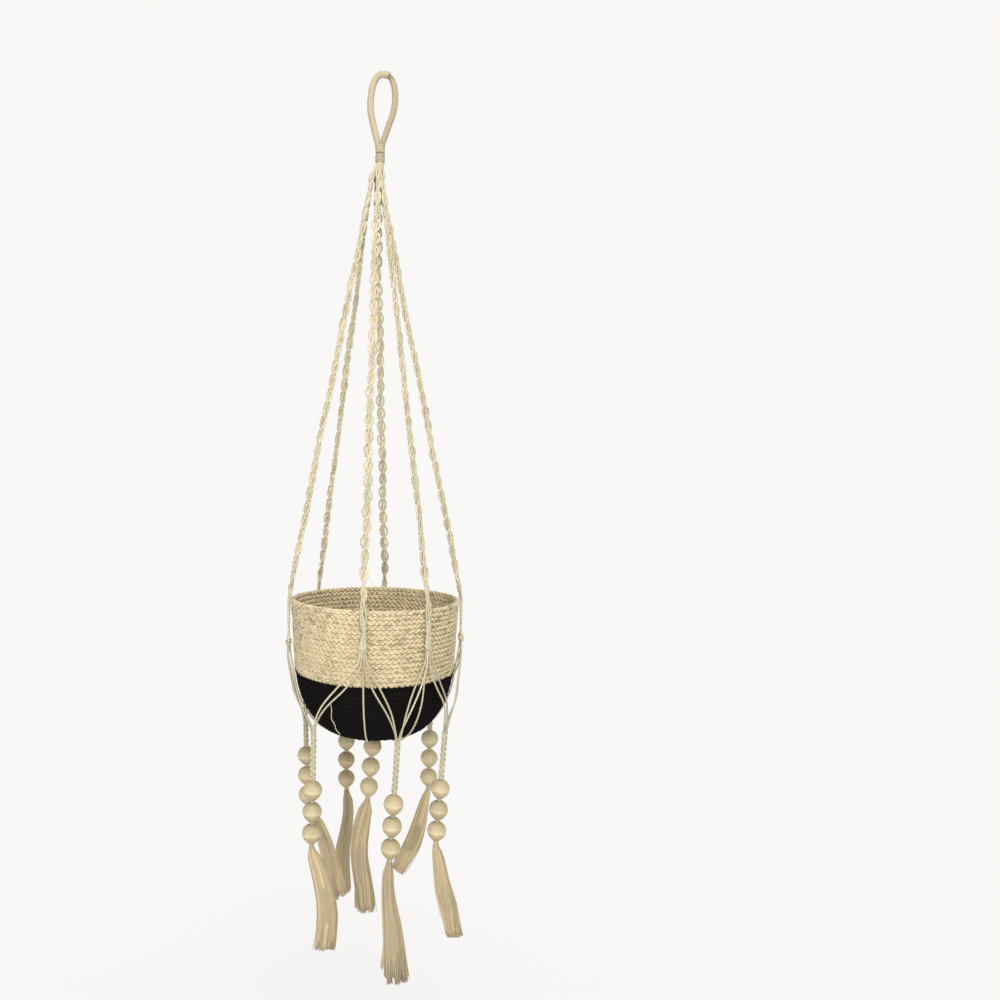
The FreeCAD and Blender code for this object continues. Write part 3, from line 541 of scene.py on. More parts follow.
def knotted_line(index):
    """Two working cords knotted round three fillers, an open oval between each two knots."""
    count = KNOT_COUNT + EXTRA_KNOTS[index]
    draw = Random(40 + index).uniform
    angle = LINE_ANGLES[index]
    line = route(line_route(index), 0.9)
    side = around(angle, 0, 0, 1.0)
    s = distances(line)
    start = s[nearest(line, around(angle, *LINE_TOP))]
    knotted = start + KNOT_PITCH * count
    rim = s[nearest(line, around(angle, *RIM_POINT))]
    end = s[-1]
    # the flat side turns slowly to and fro along the line
    turn = np.full_like(s, radians(FLAT_TURNS[index]))
    for _ in range(3):
        turn += radians(draw(3, 8)) * np.sin(2 * pi * s / draw(120, 330) + draw(0, 6))
    turn *= smooth((s - start) / 30) * smooth((knotted - s) / 30)

    def wander(reach, low, high):
        """A slow sway of the whole line, gone at the neck and at the rim."""
        swing = reach * np.sin(s / draw(low, high) + draw(0, 6))
        return swing * smooth((s - start) / 40) * smooth((rim - s) / 40)

    wander_x, wander_y = wander(0.7, 23, 31), wander(0.6, 19, 27)
    cell = (s - start) / KNOT_PITCH
    k = np.clip(np.floor(cell), 0, count - 1).astype(int)
    t = np.clip(cell - k, 0, 1)
    # half width, lean and fullness of each oval; near the neck a neighbour leaves less room
    widths, skews, full = (np.array([draw(low, high) for _ in range(count)])
                           for low, high in ((3.6, 4.7), (-0.8, 0.8), (0.8, 1.05)))
    room = np.array([(LINE_TOP[0] + 0.19 * KNOT_PITCH * n) * tan(radians(21)) - 1.1 for n in range(count)])
    widths = np.minimum(widths, np.maximum(room, 1.7))
    heap = Heap()
    fan = smooth(s / max(start, 1))
    loose = smooth((s - knotted) / 14)
    gather = smooth((s - rim) / (end - rim) * 2 - 1)
    for cord, (open_x, open_y) in enumerate(OPEN_PLACES):
        tone = draw(0.3, 0.8) + 0.3 * np.sin(s / draw(9, 16) + cord) * np.sin(s / 41 + index)
        bundle = cord * 2 * pi / 5 + draw(-0.3, 0.3)
        x_top, y_top = NECK_RING * cos(bundle), NECK_RING * sin(bundle)
        if cord < 2:
            sign = np.where((k + cord) % 2 == 0, 1.0, -1.0)
            bow = widths[k] * np.sin(pi * t ** full[k]) ** 0.66
            x = sign * bow + skews[k] * np.sin(pi * t)
            y = 2.0 * np.where(t < 0.5, -1, 1) * np.exp(-((np.minimum(t, 1 - t) / 0.12) ** 2)) * sign
            y = y + draw(-0.4, 0.4) * np.sin(pi * t)
        else:
            spin = 2 * pi * s / 46 + (cord - 2) * 2 * pi / 3
            full_by = 0.75 + 0.75 * np.sin(pi * t) ** 0.8
            x, y = full_by * np.cos(spin), full_by * np.sin(spin)
        # from the neck's round bundle into the knotted line
        blend = smooth((s - start + 4) / 8)
        joined = []
        for place, ahead in ((x, x_top), (y, y_top)):
            place = np.where(cell < 0, 0, place)
            inner = ahead * (1 - fan) + place * fan if cord >= 2 else np.where(cell < 0, ahead, place)
            joined.append(ahead * (1 - blend) * (0.75 + 0.75 * fan) + inner * blend)
        x, y = joined
        # from the last knot over the rim into the gathering knot
        after = 0.55 + 0.45 * np.sin(pi * np.clip((s - knotted) / (rim - knotted + 14), 0, 1)) ** 0.8
        cross = np.cos(1.5 * pi * np.clip((s - knotted) / (end - knotted), 0, 1))
        x_free = open_x * after * cross * (1 - gather) + (cord - 2) * 1.75 * gather
        y_free = open_y * after * (1 - gather) + (0.35 if cord % 2 else -0.25) * gather
        sway = draw(1.6, 2.8) * np.sin((s - knotted) / draw(8, 12) + 2.1 * cord)
        # painted shade: past the last knot each cord's tone rises and falls every 4.4 mm, as light and shade on its
        # plies would, and drops a little overall
        tone = tone + loose * (0.3 * np.sin(2 * pi * s / 4.4 + 1.7 * cord) - 0.12)
        x = x * (1 - loose) + (x_free + sway * loose * (1 - gather)) * loose
        y = y * (1 - loose) + y_free * loose
        cx, cy = x * np.cos(turn) - y * np.sin(turn), x * np.sin(turn) + y * np.cos(turn)
        heap.tube(offset(line, cx + wander_x, cy + wander_y, side), 1.25 if cord < 2 else 1.2, 9, np.clip(tone, 0, 1),
                  lobes=0.12, lead=15, start=draw(0, 6))
    # each knot is a short winding round the fillers
    forward, across, out = frames(line, side)
    for n in range(count + 1):
        at = start + n * KNOT_PITCH + draw(-0.6, 0.6)
        i = int(np.argmin(abs(s - at)))
        wrap = np.linspace(0, 2 * pi * WINDING_TURNS, 18)
        lean = draw(-1.3, 1.3)
        wx, wy = WINDING_RADIUS * np.cos(wrap), WINDING_RADIUS * np.sin(wrap)
        ct, st = cos(turn[i]), sin(turn[i])
        beside, outwards = wander_x[i] + wx * ct - wy * st, wander_y[i] + wx * st + wy * ct
        along = lean * np.cos(wrap) + (wrap / (2 * pi * WINDING_TURNS) - 0.5) * 2.2
        spots = line[i] + across[i] * beside[:, None] + out[i] * outwards[:, None] + forward[i] * along[:, None]
        heap.tube(spots, 0.95, 7, draw(0.3, 0.8))
    nodes = [f"suspension_line_{index + 1}"] + (["cord_crown"] if index == 0 else [])
    heap.piece(f"knotted_line_{index + 1}", JUTE, "sling", *nodes, slot="jute_cord")


for i in range(len(LINE_ANGLES)):
    knotted_line(i)


# ---- basket ----
# The bowl is two rounds that meet at a slope: the upper and lower radius.
SHOULDER_SLOPE = radians(38)
UPPER_ROUND, LOWER_ROUND = 100, 50
# Length of one plait repeat, how deep the rows' middle lies, and how many shades a plait has.
PLAIT_REPEAT, PLAIT_DEPTH, SHADE_COUNT = 19.0, 2.15, 97
STITCH_COUNT = 300


class Outline:
    """The basket's half outline, followed down from the rim: a straight wall and two rounds, then the flat foot."""

    def __init__(self):
        self.wall = NATURAL_HEIGHT / cos(TAPER)
        self.stretches = [
            (self.wall, None, TAPER, TAPER),
            (UPPER_ROUND * (SHOULDER_SLOPE - TAPER), UPPER_ROUND, TAPER, SHOULDER_SLOPE),
            (LOWER_ROUND * (radians(90) - SHOULDER_SLOPE), LOWER_ROUND, SHOULDER_SLOPE, radians(90)),
        ]
        self.bent = sum(s[0] for s in self.stretches)
        self.length = self.bent + self.at(self.bent)[0]

    def at(self, along, inwards=0.0):
        """Radius, height and slope from upright at a distance along, moved inwards."""
        r, z, slope = RIM_RADIUS, RIM_HEIGHT, TAPER
        left = along
        for length, bend, begin, end in self.stretches:
            part = min(left, length)
            if bend is None:
                r, z, slope = r - part * sin(begin), z - part * cos(begin), begin
            else:
                slope = begin + part / bend
                r, z = r - bend * (cos(begin) - cos(slope)), z - bend * (sin(slope) - sin(begin))
            left -= part
            if left <= 0:
                break
        r -= max(left, 0)
        return r - inwards * cos(slope), z + inwards * sin(slope), slope


BASKET = Outline()
ROW = BASKET.wall / NATURAL_ROWS
PLAIT_SIDES = 6
LINING_DEPTH, LINING_THICKNESS = 1.9, 0.5


def plaited(name, material, slot, nodes, first, last, step, seed, relief=1.6, stitches=False):
    """Rows of three-strand plait sewn edge to edge, from one distance along the outline to another."""
    chance = Random(seed)
    shades = np.array([chance.random() for _ in range(SHADE_COUNT)])
    heap = Heap()
    count = int(round((last - first) / ROW))
    for n in range(count):
        along = first + (n + 0.5) * (last - first) / count
        r, z, slope = BASKET.at(along, PLAIT_DEPTH)
        if r < 3:
            continue
        turns = max(3, int(round(2 * pi * r / PLAIT_REPEAT)))
        rings = max(12, int(2 * pi * r / step))
        a = np.linspace(0, 2 * pi, rings + 1)
        begin = chance.uniform(0, 2 * pi)
        drift = np.cumsum(np.array([chance.gauss(0, 1) for _ in range(rings + 1)]))
        drift = 0.09 * (drift - np.linspace(0, 1, rings + 1) * drift[-1])
        wave = 0.5 * np.sin(2 * a + 0.7) + 0.35 * np.sin(5 * a + 0.2 * n)
        dent = 0.35 * np.sin(3 * a + 1.1 * n + begin)
        for strand in range(3):
            phase = a * turns + begin + drift + strand * 2 * pi / 3
            up = (1.62 + 0.12 * np.sin(7 * a + 2.3 * n)) * np.sin(phase)
            out = relief * (1 + 0.2 * np.sin(11 * a + 1.7 * n)) * np.sin(2 * phase) + 0.25 * dent
            # a tone of its own for each stretch that shows between two crossings; the rare darkest stretches are
            # painted shade of deep gaps, and painted shade darkens each strand where it sinks to the row's middle
            grain = ((phase + pi / 4) // pi).astype(int) % SHADE_COUNT
            shade = shades[(grain + 31 * strand + 17 * n) % SHADE_COUNT]
            shade = np.where(shade < 0.05, 0.15, 0.4 + 0.45 * shade ** 0.6) + 0.25 * np.abs(np.sin(2 * phase)) - 0.05
            # painted light: the side that looks into the basket is painted paler, to lift the shade inside it
            shade = shade + 0.3 * (np.sin(2 * phase) < -0.2)
            base_r = r + out * cos(slope) + up * sin(slope)
            base_z = z - out * sin(slope) + up * cos(slope) + (wave * 0.35 if slope <= TAPER else 0)
            line = np.stack([base_r * np.cos(a), base_r * np.sin(a), base_z * np.ones_like(a)], 1)
            fat = 1.36 + 0.14 * np.sin(a * turns * 0.37 + strand) + 0.12 * np.sin(a * 31 + n)
            radial = np.stack([np.cos(a), np.sin(a), np.zeros_like(a)], 1)
            normal = radial * cos(slope) + np.array([0, 0, -sin(slope)])
            heap.tube(line, fat, PLAIT_SIDES, np.clip(shade, 0, 1), flat=1.0 / 1.25,
                      side=np.cross(np.gradient(line, axis=0), normal), start=pi / PLAIT_SIDES)
    if stitches:
        stitch(heap, chance)
    return heap.piece(name, material, "basket", *nodes, slot=slot)


def stitch(heap, chance):
    """Short black ends that reach up over the last natural row, all round."""
    for n in range(STITCH_COUNT):
        a = 2 * pi * (n + chance.uniform(-0.35, 0.35)) / STITCH_COUNT
        reach = chance.uniform(0.6, 3.2)
        spots = []
        for along in (2.5, 1.0, -0.3 * reach, -0.7 * reach, -reach):
            r, z, _ = BASKET.at(BASKET.wall + along, -0.15 if along < 1 else 0.6)
            lean = a + (chance.uniform(-0.004, 0.004) + 0.006 * (1 - along / 3))
            spots.append((r * cos(lean), r * sin(lean), z))
        heap.tube(spots, [0.55, 0.5, 0.42, 0.36, 0.2], 5, chance.random())


def lining(name, material, first, last):
    """A thin closed shell between the rows' two faces, so that no light comes through."""
    stations = np.linspace(first, last, 26)
    outer = [BASKET.at(s, LINING_DEPTH)[:2] for s in stations]
    inner = [BASKET.at(s, LINING_DEPTH + LINING_THICKNESS)[:2] for s in stations]
    ring = outer + inner[::-1]
    heap = Heap()
    sides, total = 96, len(ring)
    a = np.arange(sides) * 2 * pi / sides
    spots = np.array([[(max(r, 0.02) * cos(t), max(r, 0.02) * sin(t), z) for t in a] for r, z in ring])
    heap.spots.append(spots.reshape(-1, 3))
    # painted shade: the lining is darker than the strands, so the gaps between them look shaded
    heap.tones.append(np.full(total * sides, 0.35, np.float32))
    i = np.arange(total)[:, None] * sides
    n = (np.arange(total)[:, None] + 1) % total * sides
    j = np.arange(sides)[None, :]
    k = (j + 1) % sides
    heap.quads.append(np.stack([i + j, n + j, n + k, i + k], -1).reshape(-1, 4))
    heap.quad_uvs.append(np.tile(np.array([0, 0, 0, 1, 1, 1, 1, 0], float), (total * sides, 1)))
    heap.tris.append(np.zeros((0, 3), int))
    heap.tri_uvs.append(np.zeros((0, 6)))
    heap.count += total * sides
    return heap.piece(name, material, "basket")


WALL, HALF, FOOT = BASKET.wall, BASKET.wall / 2, BASKET.length
plaited("plaited_wall_upper", NATURAL, "natural_plait", ["basket_wall"], 0, HALF, 1.7, 1)
plaited("plaited_wall_lower", NATURAL, "natural_plait", [], HALF, WALL, 1.7, 2)
plaited("black_plaited_bowl", BLACK, "black_plait", ["basket_bowl"], WALL, FOOT, 2.6, 3, 0.7, True)
lining("wall_lining", NATURAL, 1.5, WALL)
lining("bowl_lining", BLACK, WALL, FOOT)


# ---- net ----
NET_CORD = 2.15


def wall_or_bowl(height):
    """Outside radius of the basket at a height."""
    low, high = 0.0, BASKET.bent
    while high - low > 0.01:
        middle = (low + high) / 2
        if BASKET.at(middle)[1] > height:
            low = middle
        else:
            high = middle
    return BASKET.at(low)[0]


def gather_foot(index):
    """Height of a gathering knot's lower end."""
    return RIM_HEIGHT - GATHER_DROPS[index] - GATHER_HEIGHT / 2


def junction(name):
    """The place where a string begins."""
    if name == "centre":
        return np.array([0, 0, BASKET.at(BASKET.bent, -(GAP + 1.2))[1] - 4.4])
    inside, drop = STRINGS[name]
    return around(JUNCTION_ANGLES[name], RIM_RADIUS - inside, RIM_HEIGHT - drop)


def pair_route(index, name, side, outer):
    """Points of one cord of a pair, from its gathering knot round the wall to a junction."""
    line = LINE_ANGLES[index]
    angle = JUNCTION_ANGLES[name]
    inside, drop = STRINGS[name]
    radius, height = RIM_RADIUS - inside, RIM_HEIGHT - drop
    way = (angle - line + 180) % 360 - 180
    foot = gather_foot(index)
    knot = knot_radius(index)
    leave = 4.0 if outer else 1.5
    away = 1 if outer else -1
    first = foot - (7.5 if outer else 12.5)
    last = height + 14
    points = [
        around(line, knot + 0.3, foot + 9, side * leave * 0.45),
        around(line, knot + 0.5, foot, side * leave),
        around(line, knot + 0.4, first, side * (leave + 0.3)),
    ]
    for share, turn_share, spread, bow in ((0.34, 0.3, 2.9, 1.5), (0.68, 0.66, 2.1, 5.5)):
        z = first + (last - first) * share
        free = knot + (radius - knot) * share + bow
        on_wall = wall_or_bowl(z) + GAP + 2.1
        aside = side * (leave * (1 - share) + away * spread)
        points.append(around(line + way * turn_share, max(free, on_wall), z, aside))
    for apart, outwards, rise, aside in ((1.35, 2.0, 12.5, 3.55), (1.35, 0, 0, 1.3), (0.9, 0, -5, 0.6)):
        points.append(around(angle, radius + away * apart + outwards, height + rise, -side * aside))
    return points


def single_route(index):
    """Points of the cord that runs under the bowl to the middle."""
    line = LINE_ANGLES[index]
    foot = gather_foot(index)
    knot = knot_radius(index)
    points = [around(line, knot - 1.0, foot + 9), around(line, knot - 1.7, foot)]
    for share in (0.2, 0.35, 0.5, 0.65, 0.8, 0.9, 1.0):
        r, z, _ = BASKET.at(BASKET.wall + (BASKET.bent - BASKET.wall) * share, -(GAP + 1.3))
        points.append(around(line, r, z))
    z = BASKET.at(BASKET.bent, -(GAP + 1.3))[1]
    points += [around(line, 20, z), around(line, 7, z), around(line, 3.4, z - 1.5), around(line, 3.2, z - 5.2)]
    return points


def clear_of_basket(line, room):
    """Keeps a cord outside the wall where its smooth line cuts a corner."""
    r = np.hypot(line[:, 0], line[:, 1])
    floor = BASKET.at(BASKET.bent)[1]
    least = np.array([wall_or_bowl(z) + room if z > floor + 4 else 0 for z in line[:, 2]])
    grow = np.maximum(r, least) / np.maximum(r, 1e-6)
    return np.stack([line[:, 0] * grow, line[:, 1] * grow, line[:, 2]], 1)


def net_of_line(index):
    """The five cords below a gathering knot and the knot itself."""
    draw = Random(90 + index).uniform
    heap = Heap()
    names = list(STRINGS)
    neighbours = ((names[index], -1), (names[(index - 1) % 6], 1))
    for name, side in neighbours:
        for outer in (True, False):
            line = clear_of_basket(route(pair_route(index, name, side, outer), 0.75), GAP + 1.15)
            s = distances(line)
            hold = smooth(s / 15) * smooth((s[-1] - s) / 15)
            bend = 0.35 * np.sin(s / draw(6, 11) + draw(0, 6)) * hold
            heap.twine(offset(line, bend, 0), NET_CORD, draw(0, 0.75), draw(0, 6))
    heap.twine(clear_of_basket(route(single_route(index), 0.75), GAP + 1.15), NET_CORD, draw(0.1, 0.7))
    heap.piece(f"net_cords_of_line_{index + 1}", JUTE, "sling", f"net_cords_{index + 1}", slot="jute_cord")
    knot = Heap()
    middle = box_middle(f"gathering_knot_{index + 1}")
    angle = LINE_ANGLES[index]
    out, across = around(angle, 1, 0), around(angle, 0, 0, 1.0)
    for turn, (height, lean, width) in enumerate(((2.6, 2.2, 3.4), (-0.6, -2.4, 3.8))):
        t = np.linspace(0, 2 * pi * 1.12, 34) + turn
        bow = np.sign(np.cos(t)) * abs(np.cos(t)) ** 0.8
        spots = (middle + across * (width * bow)[:, None] + out * (2.5 * np.sin(t) - 0.1)[:, None]
                 + UP * (height + lean * np.cos(t) + 0.35 * t)[:, None])
        knot.twine(spots, 2.3, draw(0.2, 1), draw(0, 6))
    for cord in range(5):
        x = (cord - 2) * 1.5
        t = np.linspace(0, 1, 18)
        spots = (middle + across * (x * (0.9 + 0.12 * cos(cord)) + 0.4 * np.sin(t * 5 + cord))[:, None]
                 + out * (0.1 - 0.5 * np.cos(2 * pi * t))[:, None] + UP * (8.5 - 17 * t)[:, None])
        knot.twine(spots, 2.1, draw(0.1, 1), draw(0, 6))
    knot.piece(f"gathering_knot_of_line_{index + 1}", JUTE, "sling", f"gathering_knot_{index + 1}", slot="jute_cord")


for i in range(len(LINE_ANGLES)):
    net_of_line(i)


# ---- hanging strings ----
def string_way(name):
    """Direction down a string, and the place where its stem begins."""
    lean = radians(STRING_LEANS[name])
    return np.array([sin(lean), 0, -cos(lean)]), junction(name) - np.array([0, 0, GAP])


def string_stem(name, seed):
    """Three strands plaited down to the beads, and on through them as a close twist round a core."""
    draw = Random(seed).uniform
    way, top = string_way(name)
    first = np.linalg.norm(box_middle(f"bead_{name}_upper") - top)
    last = first + 2 * BEAD_PITCH + BEAD_HEIGHT / 2
    points = [top + way * d for d in (0.0, first * 0.5, first, last + STEM_RUN_ON)]
    line = route(points, 0.7)
    s = distances(line)
    plaited_end = first - BEAD_HEIGHT / 2
    # the short middle stem has no plaited part
    thin = np.ones_like(s) if name == "centre" else smooth((s - plaited_end + 3) / 3)
    facing = draw(-0.6, 0.6)
    side = np.array([cos(facing), sin(facing), 0])
    heap = Heap()
    for strand in range(3):
        phase = 2 * pi * s / PLAIT_REPEAT + strand * 2 * pi / 3
        x = 1.9 * np.sin(phase) * (1 - thin) + 1.3 * np.cos(phase) * thin
        y = 1.0 * np.sin(2 * phase) * (1 - thin) + 1.3 * np.sin(phase) * thin
        # painted shade: each strand's tone goes down and up twice a plait repeat, darkest where it passes under the
        # others in the plait
        shade = np.clip(draw(0.0, 0.25) + 0.2 * np.sin(2 * phase), 0, 1)
        thick = 1.72 * (1 - thin) + 1.5 * thin
        heap.tube(offset(line, x, y, side), thick, 10, shade, lobes=0.14, lead=11, start=strand)
    heap.tube(line[s > plaited_end + 0.6], 2.4, 16, 0.3)
    stem = heap.piece(f"stem_of_string_{name}", JUTE, f"string_{name}", f"stem_{name}", slot="jute_cord")
    return stem, line, (last + STEM_RUN_ON) * MM


# Half outlines of a bead from its middle band to the hole: radius and height.
BEAD_ROUND = ((10.95, 0.8), (10.65, 1.2), (10.5, 2.9), (10.1, 4.6), (9.3, 6.3), (7.95, 7.9), (6.2, 9.3), (4.5, 10.3),
              (3.4, 10.75), (2.9, 10.5))
BEAD_POINT = ((10.95, 0.8), (10.6, 1.2), (10.1, 3.0), (9.1, 4.9), (7.8, 6.7), (6.3, 8.3), (4.9, 9.7), (3.8, 10.5),
              (3.1, 10.75), (2.9, 10.5))


def pick_faces(made, chosen):
    """Selects the faces that a test chooses. Starts and ends in edit mode."""
    bpy.ops.mesh.select_all(action="DESELECT")
    bpy.ops.object.mode_set(mode="OBJECT")
    for face in made.data.polygons:
        face.select = chosen(face)
    bpy.ops.object.mode_set(mode="EDIT")


def wooden_bead(name, word, tone):
    """Domed above and more pointed below, with a narrow band round its middle and a hole for the cords."""
    way, _ = string_way(name)
    middle = box_middle(f"bead_{name}_{word}") * MM
    bpy.ops.mesh.primitive_cylinder_add(vertices=40, radius=BEAD_ROUND[0][0] * MM, depth=2 * BEAD_ROUND[0][1] * MM)
    made = bpy.context.object
    made.name = f"bead_of_string_{name}_{word}"
    bpy.ops.object.mode_set(mode="EDIT")
    bpy.ops.mesh.select_mode(type="FACE")
    for sense, outline in ((1, BEAD_ROUND), (-1, BEAD_POINT)):
        pick_faces(made, lambda face: face.normal.z * sense > 0.9 and len(face.vertices) > 4)
        for (wide, high), (next_wide, next_high) in zip(outline, outline[1:]):
            rise = sense * (next_high - high) * MM
            bpy.ops.mesh.extrude_region_move(TRANSFORM_OT_translate={"value": (0, 0, rise)})
            bpy.ops.transform.resize(value=(next_wide / wide, next_wide / wide, 1))
    pick_faces(made, lambda face: len(face.vertices) > 4)
    bpy.ops.mesh.bridge_edge_loops()
    bpy.ops.mesh.select_all(action="SELECT")
    bpy.ops.mesh.normals_make_consistent(inside=False)
    bpy.ops.object.mode_set(mode="OBJECT")
    bpy.ops.object.shade_smooth()
    height = np.array([v.co.z for v in made.data.vertices]) / MM
    # painted light and shade: the band round the middle is the palest part, a painted highlight, and the underside
    # the darkest, painted shade; both ends darken too
    band = np.exp(-((height / 1.8) ** 2))
    shade = tone * 0.3 + np.where(height < -1.1, 0.4, 0.1) + 0.5 * np.abs(height) / (BEAD_HEIGHT / 2) - 0.4 * band
    turn = Vector((0, 0, -1)).rotation_difference(Vector(way)).to_matrix().to_4x4()
    made.data.transform(Matrix.Translation(Vector(middle)) @ turn)
    made.data.update()
    attribute = made.data.attributes.new("tone", "FLOAT", "POINT")
    attribute.data.foreach_set("value", np.clip(shade, 0, 1).astype(np.float32))
    made.select_set(False)
    return dress(made, WOOD, f"string_{name}_bead_{word}", f"bead_{name}_{word}", slot="turned_wood")


# Locks that hang apart from some tassels: the share of its length where each ends, and how far right it hangs.
LOOSE_LOCKS = {"5": ((0.88, -15.5), (0.8, -13.5), (0.84, -14.5)), "centre": ((0.95, -13.0), (0.9, -12.0))}
TASSEL_FIBRES, LOCK_COUNT, LOOSE_LOCK_FIBRES = 480, 22, 14
# The angle between one fibre and the next spreads them evenly over the bundle.
SPREAD_ANGLE = 2.399963
# Painted light: some tassels, and the beads of some strings, that hang further back or under the bowl are painted
# paler against the shade they hang in.
TASSEL_PAINTED_LIGHT = {"3": 0.25, "centre": 0.2}
BEAD_PAINTED_LIGHT = {"2": -0.2, "3": -1.1, "centre": -1.0}


def tassel(name, seed):
    """Combed-out cord ends: a soft bundle, flatter towards its ends, which are cut roughly square."""
    chance = Random(seed)
    draw = chance.uniform
    way, _ = string_way(name)
    bead = box_middle(f"bead_{name}_lower")
    head = bead + way * (BEAD_HEIGHT / 2 + 1.2)
    spots = [(head, 2.2), (head + way * 5.0, 2.9)]
    spots += [(bead + np.array([x, 0, -down]), thick / 2) for x, down, thick in TASSELS[name]]
    spine = route([spot for spot, _ in spots], 1.0)
    s = distances(spine)
    keys = [s[nearest(spine, spot)] for spot, _ in spots]
    width = np.interp(s, keys, [r for _, r in spots])
    length = s[-1]
    heap = Heap()
    side = np.array([1.0, 0, 0])
    # painted light: tassels that hang further back are painted paler
    pale = TASSEL_PAINTED_LIGHT.get(name, 0.0)
    u = np.linspace(0, 1, 18)
    # a full middle, so that no dark gap shows between the fibres
    core = spine[s < length * 0.9]
    filled = np.interp(s[:len(core)] / length, [0, 0.7, 0.9], [0.84, 0.84, 0.5])
    heap.tube(core, width[:len(core)] * filled, 20, 0.35, flat=0.6, side=side)
    # fibres hang in locks, each with its own tone, swing and length
    locks = [(chance.random(), draw(-0.12, 0.12), draw(0.93, 1.0)) for _ in range(LOCK_COUNT)]
    for fibre in range(TASSEL_FIBRES):
        a, r = fibre * SPREAD_ANGLE, 0.45 + 0.55 * sqrt((fibre + 0.5) / TASSEL_FIBRES)
        tone, swing, reach = locks[int((a + 1.2 * r) / (2 * pi) * LOCK_COUNT) % LOCK_COUNT]
        end = length * min(1.0, reach * draw(0.98, 1.0))
        if chance.random() < 0.08:
            end *= draw(0.6, 0.96)
        done = u * end
        base = points_at(spine, done)
        wide = np.interp(done, s, width) * 0.96
        loose = u ** 2
        wave = 0.06 * np.sin(u * draw(4, 8) + draw(0, 6)) * u
        curl = a + 0.5 * u + swing * 2
        deep = 0.85 - 0.4 * smooth(u * 2)
        x = wide * (r * np.cos(curl) + swing * loose + wave)
        y = wide * (deep * r * np.sin(curl) + 0.5 * wave)
        if chance.random() < 0.04:
            x, y = x * (1 + 0.3 * loose), y * (1 + 0.3 * loose)
        thick = (0.42 + 0.26 * chance.random()) * np.interp(u, [0, 0.1, 0.8, 1], [0.75, 1, 1, 0.5])
        shade = min(1.0, 0.7 * tone + 0.3 * chance.random() + pale)
        heap.tube(offset(base, x, y, side), thick, 5, shade, start=draw(0, 6))
    for share, aside in LOOSE_LOCKS.get(name, ()):
        for _ in range(LOOSE_LOCK_FIBRES):
            base = points_at(spine, u * length * share * draw(0.96, 1.0))
            x = aside * u ** 1.6 + draw(-1.2, 1.2) * u
            heap.tube(offset(base, x, draw(-1.5, 1.5) * u, side), 0.34, 4, draw(0.7, 1.0))
    return heap.piece(f"tassel_of_string_{name}", COMBED, f"string_{name}_tassel", f"tassel_{name}",
                      slot="combed_jute")


for number, name in enumerate(STRINGS):
    stem, line, length = string_stem(name, 200 + number)
    chance = Random(300 + number)
    # painted light: beads of strings that hang further back are painted paler
    painted_bead_light = BEAD_PAINTED_LIGHT.get(name, 0.2)
    beads = [wooden_bead(name, word, chance.random() + painted_bead_light) for word in ("upper", "middle", "lower")]
    ends = tassel(name, 400 + number)


# ---- stray fibres ----
# The loose end's places: sideways of its angle, and height.
LOOSE_END_ANGLE = -123
LOOSE_END = ((3.5, -726), (4, -734), (1, -742), (-1, -748), (1.5, -755), (-1.5, -762), (1, -768))
STRAY_FIBRES_PER_LINE = 110


def stray_fibres():
    """Fine hairs that stand off the lines, and one loose end that hangs from the net on the left in front."""
    chance = Random(7)
    draw = chance.uniform
    heap = Heap()
    loose_end = [around(LOOSE_END_ANGLE, wall_or_bowl(z) + 2.5, z, x) for x, z in LOOSE_END]
    heap.tube(route(loose_end, 1.0), 0.45, 6, 0.9)
    for index in range(len(LINE_ANGLES)):
        line = route(line_route(index), 2.0)
        for _ in range(STRAY_FIBRES_PER_LINE):
            i = chance.randrange(8, len(line) - 2)
            a, rise = draw(0, 2 * pi), draw(-0.6, 0.9)
            out = np.array([cos(a), sin(a), rise])
            root = line[i] + out * 0.8
            reach = draw(2.5, 6.0)
            curl = np.array([draw(-1, 1) for _ in range(3)])
            t = np.linspace(0, 1, 5)[:, None]
            spots = root + out * reach * t + curl * reach * 0.5 * t * t - UP * t * t * reach * 0.4
            heap.tube(spots, [0.1, 0.1, 0.09, 0.08, 0.04], 3, chance.random())
    heap.piece("stray_fibres", JUTE, "sling", slot="jute_cord")


stray_fibres()

# ---- stage ----
PALE = colour(250, 248, 246)


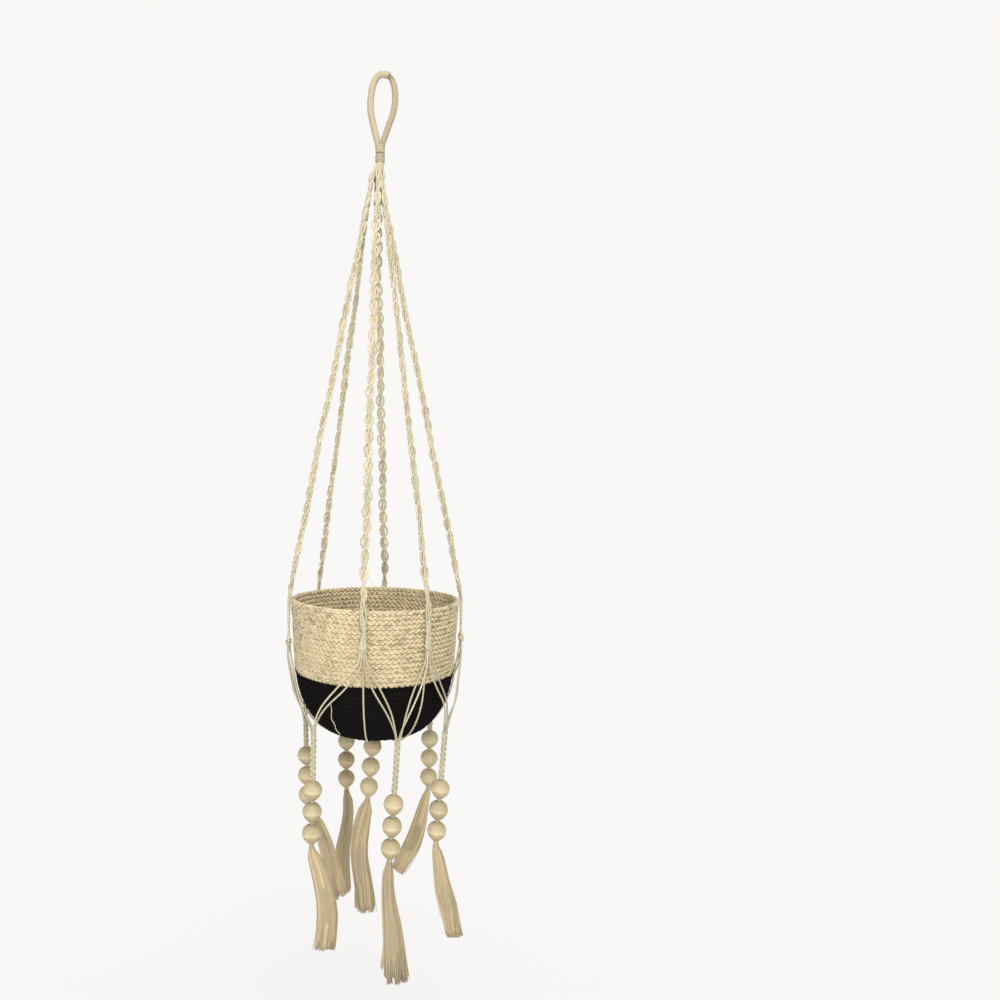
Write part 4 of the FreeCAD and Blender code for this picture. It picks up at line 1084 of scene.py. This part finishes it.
def stage_material():
    """Pale floor that keeps the object's shadow near its middle and runs into the background farther out."""
    made, tree, _ = new_material("pale floor")
    tree.nodes.clear()
    plain = add(tree, "BsdfDiffuse", {"Color": PALE})
    glow = add(tree, "Emission", {"Color": PALE})
    where = add(tree, "TexCoord")
    distance = add(tree, "VectorMath")
    distance.operation = "LENGTH"
    feed(tree, distance, {0: where.outputs["Object"]})
    far = add(tree, "MapRange", {"Value": distance.outputs["Value"], "From Min": 0.25, "From Max": 0.9, "To Min": 0.8,
                                 "To Max": 1.0})
    blended = add(tree, "MixShader", {0: far.outputs[0], 1: plain.outputs[0], 2: glow.outputs[0]})
    ray = add(tree, "LightPath")
    seen = add(tree, "MixShader", {0: ray.outputs["Is Camera Ray"], 1: plain.outputs[0], 2: blended.outputs[0]})
    under, clear = add(tree, "NewGeometry"), add(tree, "BsdfTransparent")
    last = add(tree, "MixShader", {0: under.outputs["Backfacing"], 1: seen.outputs[0], 2: clear.outputs[0]})
    add(tree, "OutputMaterial", {"Surface": last.outputs[0]})
    return made


FLOOR_SIZE, FLOOR_HEIGHT = 14, -1.32
bpy.ops.mesh.primitive_plane_add(size=FLOOR_SIZE, location=(0, 0, FLOOR_HEIGHT))
floor = bpy.context.object
floor.name = "floor"
floor.data.materials.append(stage_material())
floor.select_set(False)

world = bpy.data.worlds.new("studio")
bpy.context.scene.world = world
world.use_nodes = True
tree = world.node_tree
ambient = tree.nodes["Background"]
feed(tree, ambient, {"Color": (1, 1, 1, 1), "Strength": 0.42})
# The camera sees the pale backdrop, and all other light from the world is the ambient one.
backdrop = add(tree, "Background", {"Color": PALE})
ray = add(tree, "LightPath")
both = add(tree, "MixShader", {0: ray.outputs["Is Camera Ray"], 1: ambient.outputs[0], 2: backdrop.outputs[0]})
feed(tree, tree.nodes["World Output"], {"Surface": both.outputs[0]})



LIT_SPOT = Vector((0, 0, -0.6))


def lamp(name, place, size, power):
    """A soft square lamp (metres, watts) that faces the middle of the planter."""
    data = bpy.data.lights.new(name, "AREA")
    data.size = size
    data.energy = power
    made = placed(name, data)
    made.location = place
    made.rotation_euler = (LIT_SPOT - Vector(place)).to_track_quat("-Z", "Y").to_euler()


lamp("key", (0.45, -2.0, 0.7), 0.8, 23)
lamp("fill", (-0.9, -2.0, -0.8), 1.2, 13)
lamp("top", (0.0, -1.1, 1.5), 0.8, 18)
lamp("rear", (0.5, 1.9, 0.5), 1.2, 12)

bpy.context.scene.view_settings.view_transform = "Standard"
